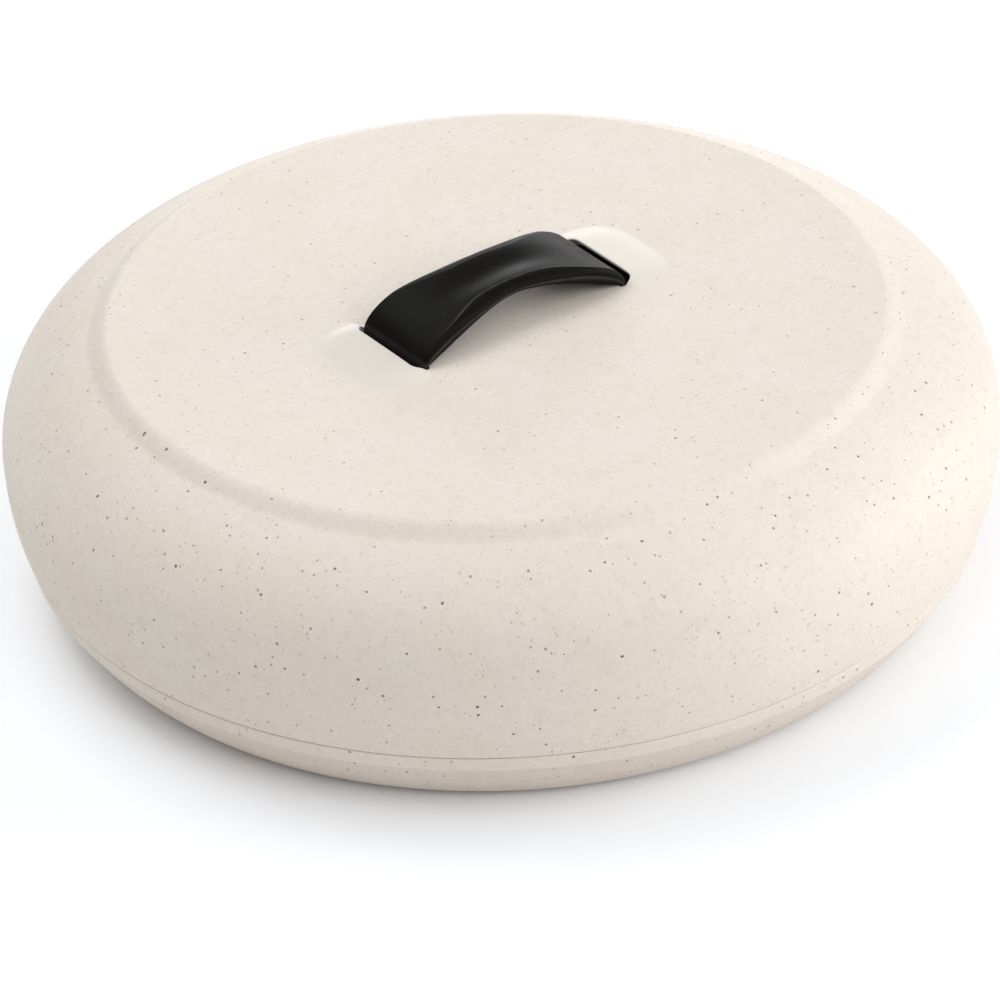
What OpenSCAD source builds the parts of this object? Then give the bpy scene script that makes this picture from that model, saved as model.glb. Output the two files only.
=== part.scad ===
// Round insulated tortilla warmer: a double-walled base and a double-walled lid
// that lifts off, with a moulded strap handle in two hooded sockets.
// Origin: centre of the underside. +Z up, +X along the handle. Millimetres.

/* [Outer form] */
// Largest diameter, at the belly line
outer_d = 300; // [280:1:330]
// Height of the belly line above the table
belly_z = 46.3; // [42:0.1:50]
// Rise of the lid's shoulder curve above the belly line
shoulder_rise = 35.9; // [32:0.1:42]
// Radial run of the shoulder curve
shoulder_run = 45.6; // [40:0.1:52]
// Fullness of the shoulder curve, 2 is an ellipse
shoulder_full = 2.03; // [1.9:0.01:2.5]
// Depth of the curve below the belly line, most of it below the table
underbelly_drop = 58.1; // [55:0.1:66]
// Radial run of the curve below the belly line
underbelly_run = 55.5; // [50:0.1:62]
// Fullness of the curve below the belly line
underbelly_full = 2.22; // [2:0.01:2.5]

/* [Raised disc on the lid] */
// Distance of the disc's flat top inside the belly line
disc_inset = 34.5; // [31:0.5:50]
// Height of the disc's top above the crease around it
disc_step = 4.1; // [2:0.1:5]
// Radial width of the disc's sloping edge
disc_edge_w = 6.8; // [5:0.1:9]

/* [Seam and rim] */
// Height of the seam between the lid and the base
seam_z = 23; // [20:0.1:27]
// Rounding of the two edges that meet at the seam
seam_edge_r = 0.5; // [0.3:0.1:0.8]
// Height of the base's rim band below the seam
rim_band_h = 5.2; // [4:0.1:8]
// How far the rim band stands out from the wall below it
rim_band_proud = 0.8; // [0.4:0.1:1.4]
// Width of the rim faces that the outer shells meet on
rim_land_w = 3; // [2.6:0.1:4]
// Width of the ledge that carries a liner's flange
rim_ledge_w = 3; // [2:0.1:5]

/* [Underside] */
// Height at which the wall starts to turn under
foot_turn_z = 3.2; // [2:0.1:5]
// Radial width of the ring that the base stands on
foot_w = 8; // [5:0.5:14]
// Depth of the hollow inside the ring
foot_hollow = 1.6; // [0.8:0.1:2.4]

/* [Walls] */
// Wall of the outer shells
shell_t = 2.4; // [2:0.1:3]
// Wall of the inner liners
liner_t = 2; // [1.6:0.1:2.6]
// Gap between a liner's flange and the shell around it
flange_clear = 0.2; // [0.1:0.05:0.4]
// Gap round the foam inside the double wall
foam_clear = 0.4; // [0.3:0.05:0.8]

/* [Tortilla well] */
// Distance of the well's rim inside the seam
well_inset = 15.1; // [13.5:0.1:20]
// Draft of the well's wall, in degrees
well_draft = 6; // [2:0.5:10]
// Depth of the hollow between the well's floor and the underside
base_gap_h = 3; // [2.5:0.1:6]
// Radius between the well's wall and floor
well_corner_r = 8; // [6:0.5:12]
// Height of the locating lip above the seam
lip_h = 6; // [4:0.5:9]
// Running gap between the lip and the lid's skirt
lip_clear = 0.5; // [0.4:0.05:1]
// Depth of the hollow between the disc and the lid liner's ceiling
lid_gap_h = 9.6; // [9.2:0.1:14]
// Radial run of the curve round the lid liner's ceiling
ceiling_run = 30; // [24:0.5:38]
// Fullness of the lid liner's curve
ceiling_full = 2.2; // [2:0.05:2.6]

/* [Handle strap] */
// Half length of the strap's top curve, at the disc
strap_half = 37.7; // [36:0.1:42]
// Height of the strap's ridges above the disc
strap_rise = 13.7; // [11:0.1:16]
// Height of the strap's lower edges above the disc, at mid length
strap_under = 9.9; // [8:0.1:12]
// Fullness of the strap's top curve
strap_full = 1.92; // [1.8:0.01:2.4]
// Rounding of the strap's lower edge at mid length, 0 is a sharp peak
strap_under_soft = 0.8; // [0.1:0.05:1.2]
// Half width of the strap at its ends
strap_end_w = 15.3; // [13:0.1:17]
// Half width of the strap at mid length
strap_mid_w = 11.9; // [10:0.1:13]
// How late the strap widens towards its ends
strap_flare = 1.4; // [1.2:0.1:2.4]
// Distance of the grip ridges from the strap's middle line
ridge_y = 8.7; // [7:0.1:9.5]
// Depth of the thumb hollow between the ridges
thumb_hollow = 1.1; // [0.5:0.1:1.4]
// Thickness of the strap's web
strap_web_t = 2.8; // [2.2:0.1:3.2]
// Thickness of the strap's rolled-down sides
strap_side_t = 2.4; // [1.8:0.1:3]
// Thickness of the strap's legs in their slots
leg_t = 2.2; // [1.8:0.1:2.6]
// Thickness of the strap's feet
foot_t = 2.8; // [2.2:0.1:3.2]
// Length of the strap's feet, outwards from the legs
foot_len = 17; // [15:0.5:20]

/* [Handle sockets] */
// Gap between the strap's crest and each hood's lip
hood_gap = 2.6; // [2:0.1:4]
// Height of a hood above the disc
hood_h = 2; // [1.6:0.1:4]
// Depth of a hood, from its lip outwards
hood_depth = 19.5; // [16:0.5:22]
// Width of a hood beside the strap, where it meets the disc
hood_side = 7; // [4:0.1:10]
// Share of a hood's height that it loses from its lip back to its edge
hood_fall = 0.8; // [0.4:0.05:0.95]
// Fullness of a hood's rounded edge, more is steeper
hood_edge_full = 4.5; // [2:0.1:6]
// Squareness of a hood's edge seen from above, 2 is an ellipse
hood_square = 2.8; // [2:0.1:4]
// Thickness of a hood's lip
hood_lip_t = 0.7; // [0.6:0.1:1.2]
// Depth of the dark pocket behind the lip
pocket_depth = 2.4; // [1.5:0.1:3.5]
// Gap between a leg and its slot
slot_clear = 0.4; // [0.2:0.05:0.6]
// Radius of the slot's corners inside the strap's leg
slot_corner_r = 1; // [0.5:0.1:1.1]
// Radius of the corners at the ends of the lip
lip_corner_r = 3.5; // [2:0.1:3.8]
// Depth below the disc of the block that fills the slot beside the leg
plug_drop = 1; // [0.5:0.1:1.5]

/* [Handle screws] */
// Distance of each screw from the inner face of its leg
screw_reach = 12; // [12:0.5:13]
// Diameter of the screw's core
screw_core_d = 2.6; // [2.2:0.1:3]
// Diameter of the screw's head
screw_head_d = 6; // [5:0.1:7]
// Height of the screw's head
screw_head_h = 2; // [1.6:0.1:2.2]
// Diameter of the flat crown on the screw's head
screw_crown_d = 4.2; // [3:0.1:5]
// Width of the cross recess in the screw's head
recess_w = 1; // [0.8:0.1:1.4]
// Length of the screw below its head
screw_len = 9; // [8:0.1:9.5]
// Gap round the screw's core in its boss
screw_clear = 0.1; // [0.05:0.05:0.2]
// Gap round the screw in the strap's foot
foot_hole_clear = 0.4; // [0.2:0.05:0.6]
// Diameter of the boss that takes the screw
boss_d = 8; // [7:0.1:9]
// Length of the boss below the disc's underside
boss_len = 4; // [3.5:0.1:4.4]
// Gap between the foam and what hangs under the disc
foam_pocket_gap = 1; // [0.6:0.1:2]

/* [Hidden] */

$fn = 96;
CREAM = [0.93, 0.90, 0.85];
LINER = [0.90, 0.88, 0.84];
FOAM = [0.94, 0.90, 0.72];
BLACK = [0.07, 0.07, 0.07];
STEEL = [0.72, 0.72, 0.74];

// Steps along the curves
shoulder_steps = 26;
underbelly_steps = 12;
corner_steps = 8;
edge_steps = 4;
disc_edge_steps = 12;
// Height over which the lean of a wall is taken
slope_step = 0.5;

outer_r = outer_d / 2;
shoulder_r = outer_r - shoulder_run;
underbelly_r = outer_r - underbelly_run;

disc_r = outer_r - disc_inset;
crease_r = disc_r + disc_edge_w;
crease_z = quarter_z(crease_r, shoulder_r, belly_z, shoulder_run, shoulder_rise, shoulder_full);
disc_z = crease_z + disc_step;
disc_under_z = disc_z - shell_t;

seam_r = quarter_r(seam_z, underbelly_r, belly_z, underbelly_run, -underbelly_drop, underbelly_full);
land_r = seam_r - rim_land_w;
ledge_r = land_r - rim_ledge_w;
band_z = seam_z - rim_band_h;

// The rim band leans out from its lower edge to the seam, in degrees
band_r = lower_wall_r(band_z, 0) + rim_band_proud;
band_lean = atan2(seam_r - band_r, rim_band_h);
// The lid's wall leans out from the seam up, in degrees
seam_lean = wall_lean(seam_z);

// The wall meets the foot in an arc that starts flat on the table
foot_turn = 90 - wall_lean(foot_turn_z);
foot_round = foot_turn_z / (1 - cos(foot_turn));
foot_r = lower_wall_r(foot_turn_z, 0) - foot_round * sin(foot_turn);

well_r = seam_r - well_inset;
well_floor_z = foot_hollow + shell_t + base_gap_h + liner_t;
lip_top_z = seam_z + lip_h;
lip_r = well_r + liner_t;
skirt_r = lip_r + lip_clear;
ceiling_z = disc_under_z - lid_gap_h - liner_t;
ceiling_r = skirt_r - ceiling_run;
ceiling_rise = ceiling_z - belly_z;

leg_in_x = strap_half - leg_t;
hood_x = strap_half + hood_gap;
hood_half_w = strap_end_w + hood_side;
// A hood's slope in front of its lip ends where the strap's leg goes down
hood_front = hood_x - leg_in_x;
mouth_h = hood_h - hood_lip_t;
// Depth by which a hood's edge runs into the disc
hood_sink = 0.25;

foot_top_z = disc_under_z - boss_len;
foot_bottom_z = foot_top_z - foot_t;
screw_x = leg_in_x + screw_reach;
slot_half_w = strap_end_w + slot_clear;
slot_end_x = hood_x + pocket_depth;

// Small depth by which a cut runs past the face it opens
past = 1;

// ---- Curves -------------------------------------------------------------

// Height of a rounded quarter curve at radius r, for a curve that starts at
// its widest point [cr + run, cz] and ends at [cr, cz + rise]
function quarter_z(r, cr, cz, run, rise, full) =
    cz + rise * pow(1 - pow(min(max((r - cr) / run, 0), 1), full), 1 / full);

// Radius of the same curve at height z
function quarter_r(z, cr, cz, run, rise, full) =
    cr + run * pow(1 - pow(min(max((z - cz) / rise, 0), 1), full), 1 / full);

// Points of the same curve between two heights
function quarter_points(z0, z1, cr, cz, run, rise, full, steps) =
    let (a0 = asin(pow(max((z0 - cz) / rise, 0), full / 2)))
    let (a1 = asin(pow(min((z1 - cz) / rise, 1), full / 2)))
    [for (i = [0:steps])
        let (a = a0 + (a1 - a0) * i / steps)
        [cr + run * pow(cos(a), 2 / full), cz + rise * pow(sin(a), 2 / full)]];

function arc_points(cr, cz, r, a0, a1, steps) =
    [for (i = [0:steps])
        let (a = a0 + (a1 - a0) * i / steps)
        [cr + r * cos(a), cz + r * sin(a)]];

function smooth(t) =
    let (c = min(max(t, 0), 1))
    c * c * (3 - 2 * c);

function backwards(list) = [for (i = [len(list) - 1:-1:0]) list[i]];

// Outside of the lid from the seam up to the crease, then over the disc's edge
function lid_outside() =
    concat(
        arc_points(seam_r - seam_edge_r * tan((90 - seam_lean) / 2), seam_z + seam_edge_r,
            seam_edge_r, -90, -seam_lean, edge_steps),
        lower_wall_points(seam_z + seam_edge_r, belly_z, 0),
        [for (p = quarter_points(belly_z, crease_z, shoulder_r, belly_z,
            shoulder_run, shoulder_rise, shoulder_full, shoulder_steps))
            if (p[1] > belly_z) p],
        [for (i = [1:disc_edge_steps])
            let (r = crease_r - disc_edge_w * i / disc_edge_steps)
            let (z = quarter_z(r, shoulder_r, belly_z, shoulder_run, shoulder_rise, shoulder_full))
            [r, z + (disc_z - z) * smooth(i / disc_edge_steps)]]);

// Inside of the lid's outer shell, from the rim's ledge up to the disc
function lid_inside() =
    let (top_z = quarter_z(disc_r - shell_t, shoulder_r, belly_z,
        shoulder_run - shell_t, shoulder_rise - shell_t, shoulder_full))
    concat(
        lower_wall_points(seam_z + liner_t * 2 + rim_ledge_w, belly_z, shell_t),
        [for (p = quarter_points(belly_z, top_z, shoulder_r, belly_z,
            shoulder_run - shell_t, shoulder_rise - shell_t, shoulder_full, shoulder_steps))
            if (p[1] > belly_z) p],
        [[disc_r - shell_t - disc_step, disc_under_z]]);

// Outside of the base from the ring it stands on up to the rim band
function base_outside() =
    concat(
        [for (i = [0:corner_steps - 1])
            let (a = foot_turn * i / corner_steps)
            [foot_r + foot_round * sin(a), foot_round * (1 - cos(a))]],
        lower_wall_points(foot_turn_z, band_z - rim_band_proud, 0));

// Angle by which the wall below the belly line leans out at height z
function wall_lean(z) =
    atan2(lower_wall_r(z + slope_step, 0) - lower_wall_r(z - slope_step, 0), slope_step * 2);

// Radius of the wall below the belly line at height z, moved in by an inset
function lower_wall_r(z, inset) =
    quarter_r(z, underbelly_r, belly_z, underbelly_run - inset, inset - underbelly_drop, underbelly_full);

// Points of that wall between two heights
function lower_wall_points(z0, z1, inset) =
    quarter_points(z0, z1, underbelly_r, belly_z,
        underbelly_run - inset, inset - underbelly_drop, underbelly_full, underbelly_steps);

// Radius of the well's wall at height z, grown outwards by t
function well_wall_r(z, t) = well_r - (lip_top_z - z) * tan(well_draft) + t / cos(well_draft);

// The well's wall and floor as an outline grown outwards by t
function well_outline(t, top_z) =
    let (centre_z = well_floor_z + well_corner_r)
    let (centre_r = well_wall_r(centre_z, -well_corner_r))
    concat(
        [[0, well_floor_z - t]],
        arc_points(centre_r, centre_z, well_corner_r + t, -90, -well_draft, corner_steps),
        [[well_wall_r(top_z, t), top_z]]);

// The lid liner's cavity as an outline grown outwards by t, from its rim up
function ceiling_outline(t, rim_z) =
    concat(
        [[skirt_r + t, rim_z]],
        quarter_points(belly_z, ceiling_z + t, ceiling_r, belly_z,
            ceiling_run + t, ceiling_rise + t, ceiling_full, shoulder_steps),
        [[0, ceiling_z + t]]);

module turned(outline) {
    rotate_extrude(convexity = 6)
        polygon(outline);
}

module round_rect(x0, x1, half_w, r) {
    translate([x0 + r, -half_w])
        square([x1 - x0 - 2 * r, 2 * half_w]);
    translate([x0, -half_w + r])
        square([x1 - x0, 2 * half_w - 2 * r]);
    for (x = [x0 + r, x1 - r], y = [-half_w + r, half_w - r])
        translate([x, y])
            circle(r = r);
}

module both_ends() {
    children();
    rotate([0, 0, 180])
        children();
}

// ---- Base ---------------------------------------------------------------

module base_outer_shell() {
    color(CREAM)
        turned(concat(
            [[0, foot_hollow], [foot_r - foot_w - foot_hollow, foot_hollow], [foot_r - foot_w, 0]],
            base_outside(),
            [[band_r, band_z]],
            arc_points(seam_r - seam_edge_r * tan((90 + band_lean) / 2), seam_z - seam_edge_r,
                seam_edge_r, -band_lean, 90, edge_steps),
            [[land_r, seam_z], [land_r, seam_z - liner_t], [ledge_r, seam_z - liner_t]],
            [[ledge_r, seam_z - liner_t * 2], [lower_wall_r(band_z, shell_t), band_z]],
            backwards(lower_wall_points(foot_hollow + shell_t, band_z - liner_t, shell_t)),
            [[0, foot_hollow + shell_t]]));
}

module base_inner_liner() {
    color(LINER)
        turned(concat(
            [[0, well_floor_z - liner_t]],
            [for (p = well_outline(liner_t, seam_z - liner_t)) if (p[0] > 0) p],
            [[land_r - flange_clear, seam_z - liner_t], [land_r - flange_clear, seam_z]],
            [[lip_r, seam_z], [lip_r, lip_top_z - seam_edge_r], [lip_r - seam_edge_r, lip_top_z]],
            backwards(well_outline(0, lip_top_z))));
}

module base_insulation() {
    inset = shell_t + foam_clear;
    floor_z = foot_hollow + inset;
    top_z = band_z - foam_clear * 2;
    color(FOAM)
        turned(concat(
            [[0, floor_z]],
            lower_wall_points(floor_z, top_z, inset),
            backwards(well_outline(liner_t + foam_clear, top_z))));
}

// ---- Lid ----------------------------------------------------------------

// Point of a hood's skin on ring t, from 0 in the middle of the lip to 1 at the
// hood's edge, in direction a
function hood_point(t, a) =
    let (run = cos(a) < 0 ? hood_front : hood_depth)
    let (u = t * sign(cos(a)) * pow(abs(cos(a)), 2 / hood_square))
    let (v = t * sign(sin(a)) * pow(abs(sin(a)), 2 / hood_square))
    let (share = (1 - hood_fall * max(u, 0)) * (1 + cos(180 * pow(t, hood_edge_full))) / 2)
    [hood_x + run * u, hood_half_w * v, disc_z - hood_sink + (hood_h + hood_sink) * share];

// Smooth hood over a socket: highest at its lip, running out into the disc
module hood() {
    rings = 9;
    spokes = 40;
    crowding = 1.5;
    last = 1 + (rings - 1) * spokes;
    foot = last + spokes;
    points = concat(
        [hood_point(0, 0)],
        [for (j = [1:rings], i = [0:spokes - 1])
            hood_point(1 - pow(1 - j / rings, crowding), 360 * i / spokes)],
        [for (i = [0:spokes - 1])
            let (edge = hood_point(1, 360 * i / spokes))
            [edge[0], edge[1], disc_z - shell_t / 2]],
        [[hood_x, 0, disc_z - shell_t / 2]]);
    polyhedron(points, concat(
        [for (i = [0:spokes - 1]) [0, 1 + (i + 1) % spokes, 1 + i]],
        [for (j = [1:spokes:last - 1], i = [0:spokes - 1])
            [j + i, j + spokes + (i + 1) % spokes, j + spokes + i]],
        [for (j = [1:spokes:last - 1], i = [0:spokes - 1])
            [j + i, j + (i + 1) % spokes, j + spokes + (i + 1) % spokes]],
        [for (i = [0:spokes - 1])
            [last + i, last + (i + 1) % spokes, foot + (i + 1) % spokes, foot + i]],
        [for (i = [0:spokes - 1]) [foot + i, foot + (i + 1) % spokes, foot + spokes]]));
}

// Outline of a slot with small corners at x0 and corners of radius r at x1
module slot_outline(x0, x1, half_w, r) {
    small = slot_corner_r;
    polygon(concat(
        arc_points(x1 - r, half_w - r, r, 0, 90, corner_steps),
        arc_points(x0 + small, half_w - small, small, 90, 180, edge_steps),
        arc_points(x0 + small, small - half_w, small, 180, 270, edge_steps),
        arc_points(x1 - r, r - half_w, r, 270, 360, corner_steps)));
}

// Space under a hood's lip and through the disc for a leg of the strap
module socket_opening() {
    x0 = leg_in_x - slot_clear;
    translate([0, 0, foot_top_z])
        linear_extrude(disc_z + mouth_h - foot_top_z)
            slot_outline(x0, slot_end_x, slot_half_w, lip_corner_r);
    translate([0, 0, disc_z])
        linear_extrude(hood_h + past)
            slot_outline(x0, hood_x, slot_half_w, lip_corner_r);
}

module lid_outer_shell() {
    pilot_r = screw_core_d / 2 + screw_clear;
    color(CREAM)
        difference() {
            union() {
                turned(concat(
                    [[land_r, seam_z]],
                    lid_outside(),
                    [[0, disc_z], [0, disc_under_z]],
                    backwards(lid_inside()),
                    [[ledge_r, seam_z + liner_t * 2], [ledge_r, seam_z + liner_t], [land_r, seam_z + liner_t]]));
                both_ends()
                    hood();
                both_ends()
                    translate([screw_x, 0, foot_top_z])
                        cylinder(d = boss_d, h = boss_len + past / 2);
            }
            both_ends()
                socket_opening();
            both_ends()
                translate([screw_x, 0, foot_top_z - past])
                    cylinder(r = pilot_r, h = screw_len - foot_t + past + screw_clear);
        }
}

module lid_inner_liner() {
    color(LINER)
        turned(concat(
            [[skirt_r, seam_z], [land_r - flange_clear, seam_z]],
            [[land_r - flange_clear, seam_z + liner_t]],
            ceiling_outline(liner_t, seam_z + liner_t),
            backwards([for (p = ceiling_outline(0, seam_z)) if (p[1] > seam_z) p])));
}

module lid_insulation() {
    inset = shell_t + foam_clear;
    rim_z = seam_z + liner_t * 2 + rim_ledge_w;
    top_z = disc_under_z - foam_clear;
    pocket_x0 = leg_in_x - slot_clear - foam_pocket_gap;
    pocket_x1 = leg_in_x + foot_len + foam_pocket_gap;
    color(FOAM)
        difference() {
            turned(concat(
                ceiling_outline(liner_t + foam_clear, rim_z),
                [[0, top_z]],
                [[disc_r - inset - disc_step * 2, top_z]],
                backwards(quarter_points(belly_z, crease_z - inset - disc_step / 2, shoulder_r, belly_z,
                    shoulder_run - inset, shoulder_rise - inset, shoulder_full, shoulder_steps)),
                backwards([for (p = lower_wall_points(rim_z, belly_z, inset)) if (p[1] < belly_z) p])));
            both_ends()
                translate([0, 0, ceiling_z])
                    linear_extrude(disc_z - ceiling_z)
                        round_rect(pocket_x0, pocket_x1, slot_half_w + foam_pocket_gap, foam_pocket_gap);
        }
}

// ---- Handle -------------------------------------------------------------

// Stations run from the end of one foot over the arch to the end of the other:
// the arch, then the mitre between leg and foot, then the foot's end
strap_steps = 20;
strap_mitre = strap_steps + 1;
strap_end = strap_steps + 2;
hollow_steps = 4;
side_steps = 4;

// Shares of the strap's half length: where its ridges start to run out into
// its sides, and the length that this takes
ridge_fade_start = 0.2;
ridge_fade_span = 0.55;
// Height of the rounded side as a share of the strap's depth, at mid length and
// at its ends
side_share_mid = 0.66;
side_share_end = 0.5;
// Rounding of the strap's edges, the inward tuck of its sides, and the bevel
// between its sides and its web
strap_edge_r = leg_t / 2;
side_tuck = strap_edge_r / 3;
web_corner = strap_side_t / 2;

function strap_angle(k) = 90 * min(abs(k), strap_steps) / strap_steps;

function strap_mirror(k, point) = [k < 0 ? -point[0] : point[0], point[1]];

// Point on the strap's outer face
function strap_top(k) =
    abs(k) == strap_end ? strap_mirror(k, [leg_in_x + foot_len, foot_top_z])
    : abs(k) == strap_mitre ? strap_mirror(k, [strap_half, foot_top_z])
    : strap_mirror(k, [strap_half * pow(sin(strap_angle(k)), 2 / strap_full),
        disc_z + strap_rise * pow(cos(strap_angle(k)), 2 / strap_full)]);

// Point on the strap's inner face, across from the same station's outer one
function strap_bottom(k) =
    let (reach = pow(sin(strap_angle(k)), 2 / strap_full))
    let (soft = strap_under_soft)
    let (fall = (norm([reach, soft]) - soft) / (norm([1, soft]) - soft))
    abs(k) == strap_end ? strap_mirror(k, [leg_in_x + foot_len, foot_bottom_z])
    : abs(k) == strap_mitre ? strap_mirror(k, [leg_in_x, foot_bottom_z])
    : strap_mirror(k, [leg_in_x * reach, disc_z + strap_under * (1 - fall)]);

// Half of a cross-section as [across, depth below the outer face]: the hollow
// between the ridges, the rounded side, and the underside round the web
function strap_half_section(along, depth, web_t) =
    let (half_w = strap_mid_w + (strap_end_w - strap_mid_w) * pow(sin(90 * along), strap_flare))
    let (fade = smooth((along - ridge_fade_start) / ridge_fade_span))
    let (ridge = ridge_y + (half_w - strap_edge_r - ridge_y) * fade)
    let (hollow = min(thumb_hollow * (1 - fade), depth / 3))
    let (lip = depth * (side_share_mid + (side_share_end - side_share_mid) * fade))
    let (under = min(depth, web_t + hollow))
    concat(
        [for (i = [0:hollow_steps - 1])
            [ridge * i / hollow_steps, hollow * (1 + cos(180 * i / hollow_steps)) / 2]],
        [for (i = [0:side_steps])
            let (a = 90 * i / side_steps)
            [ridge + (half_w - ridge) * sin(a), lip * (1 - cos(a))]],
        [[half_w - side_tuck, (lip + depth + side_tuck) / 2], [half_w - side_tuck * 2, depth]],
        [[half_w - strap_side_t, depth], [half_w - strap_side_t - web_corner, under], [0, under]]);

function strap_point(k, across, depth) =
    let (top = strap_top(k))
    let (bottom = strap_bottom(k))
    let (at = top + (bottom - top) * depth / norm(bottom - top))
    [at[0], across, at[1]];

function strap_ring(k) =
    let (depth = norm(strap_bottom(k) - strap_top(k)))
    let (along = min(abs(strap_top(k)[0]) / strap_half, 1))
    let (half = strap_half_section(along, depth, abs(k) > strap_steps ? depth : strap_web_t))
    concat(
        [for (p = half) strap_point(k, p[0], p[1])],
        [for (i = [len(half) - 2:-1:1]) strap_point(k, -half[i][0], half[i][1])]);

// The whole strap, with its legs and feet, as one loft with a fan at each end
module strap_loft() {
    rings = [for (k = [-strap_end:strap_end]) strap_ring(k)];
    row = len(rings[0]);
    last = (len(rings) - 1) * row;
    cap = last + row;
    points = concat([for (ring = rings) each ring],
        [for (k = [-strap_end, strap_end]) strap_point(k, 0, foot_t / 2)]);
    polyhedron(points, concat(
        [for (i = [0:row - 1]) [cap, (i + 1) % row, i]],
        [for (j = [0:row:last - row], i = [0:row - 1])
            [j + i, j + row + (i + 1) % row, j + row + i]],
        [for (j = [0:row:last - row], i = [0:row - 1])
            [j + i, j + (i + 1) % row, j + row + (i + 1) % row]],
        [for (i = [0:row - 1]) [cap + 1, last + i, last + (i + 1) % row]]));
}

// Block that fills the slot outside a leg
module strap_plug() {
    translate([0, 0, foot_top_z])
        linear_extrude(disc_z - plug_drop - foot_top_z)
            slot_outline(leg_in_x + strap_edge_r, slot_end_x - slot_clear,
                strap_end_w - side_tuck, lip_corner_r - slot_clear);
}

module handle_strap() {
    color(BLACK)
        difference() {
            union() {
                strap_loft();
                both_ends()
                    strap_plug();
            }
            both_ends()
                translate([screw_x, 0, foot_bottom_z - past])
                    cylinder(d = screw_core_d + foot_hole_clear * 2, h = foot_t + past * 2);
        }
}

module screw() {
    core_r = screw_core_d / 2;
    crown_r = screw_crown_d / 2;
    crown_edge = (screw_head_d - screw_crown_d) / 2;
    difference() {
        rotate_extrude()
            polygon(concat(
                [[0, -screw_head_h]],
                [for (i = [0:edge_steps])
                    let (a = 90 * i / edge_steps)
                    [crown_r + crown_edge * sin(a), -screw_head_h * cos(a)]],
                [[core_r, 0], [core_r, screw_len - core_r], [0, screw_len]]));
        for (turn = [0, 90])
            rotate([0, 0, turn])
                translate([-core_r, -recess_w / 2, -screw_head_h - past])
                    cube([screw_core_d, recess_w, screw_head_h / 2 + past]);
    }
}

module handle_screws() {
    color(STEEL)
        both_ends()
            translate([screw_x, 0, foot_bottom_z])
                screw();
}

base_outer_shell();
base_insulation();
base_inner_liner();
lid_outer_shell();
lid_insulation();
lid_inner_liner();
handle_strap();
handle_screws();
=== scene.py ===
"""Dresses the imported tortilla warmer: speckled double-walled shells, liners, foam, strap handle and screws.

Lengths of the pieces are in millimetres, in the part's own frame: origin under the centre, +Z up, +X
along the handle. The finishes and the stage work in metres.
"""

import logging
import math
from dataclasses import dataclass, field
from enum import Enum
from typing import Callable, Iterable, Optional

import bmesh
import bpy
from mathutils import Matrix, Vector
from mathutils.geometry import delaunay_2d_cdt


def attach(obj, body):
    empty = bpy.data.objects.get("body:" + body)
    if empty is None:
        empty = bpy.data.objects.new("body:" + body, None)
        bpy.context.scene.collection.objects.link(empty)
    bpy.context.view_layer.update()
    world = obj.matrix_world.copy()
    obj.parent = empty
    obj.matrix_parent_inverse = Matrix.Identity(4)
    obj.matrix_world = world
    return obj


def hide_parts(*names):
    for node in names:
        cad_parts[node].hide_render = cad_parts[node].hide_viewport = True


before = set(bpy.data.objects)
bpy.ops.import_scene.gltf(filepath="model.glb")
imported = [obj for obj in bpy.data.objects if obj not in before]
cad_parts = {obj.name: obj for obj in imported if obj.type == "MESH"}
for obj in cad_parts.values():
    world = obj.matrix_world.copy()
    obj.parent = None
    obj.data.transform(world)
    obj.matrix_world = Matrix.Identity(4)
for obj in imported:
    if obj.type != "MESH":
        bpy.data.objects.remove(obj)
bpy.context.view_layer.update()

log = logging.getLogger("tortilla_warmer")
MM = 0.001
WELD_GAP = 0.002
Point2 = tuple[float, float]
Point3 = tuple[float, float, float]
Colour = tuple[float, float, float, float]
Height = Callable[[float, float], float]
Mesh = bpy.types.Mesh
Socket = bpy.types.NodeSocket


class Body(Enum):
    """The two bodies of the part, the lid lifts off the base."""

    BASE = "base"
    LID = "lid"


class Slot(Enum):
    """The record's material slots."""

    SHELL = "speckled_shell"
    LINER = "liner_plastic"
    FOAM = "insulation_foam"
    STRAP = "black_strap"
    SCREW = "screw_steel"


# ---- Curves of the object ---------------------------------------------------


def smooth(t: float) -> float:
    """Eases t from 0 to 1 with flat ends."""
    c = min(max(t, 0.0), 1.0)
    return c * c * (3 - 2 * c)


def arc(centre: Point2, radius: float, start: float, end: float, steps: int) -> list[Point2]:
    """Points of an arc in the (radius, height) plane.

    Args:
        centre: The arc's centre.
        radius: The arc's radius.
        start: Angle of the first point in degrees.
        end: Angle of the last point in degrees.
        steps: How many segments the arc has.

    Returns:
        The points from start to end.
    """
    angles = [math.radians(start + (end - start) * i / steps) for i in range(steps + 1)]
    return [(centre[0] + radius * math.cos(a), centre[1] + radius * math.sin(a)) for a in angles]


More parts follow.
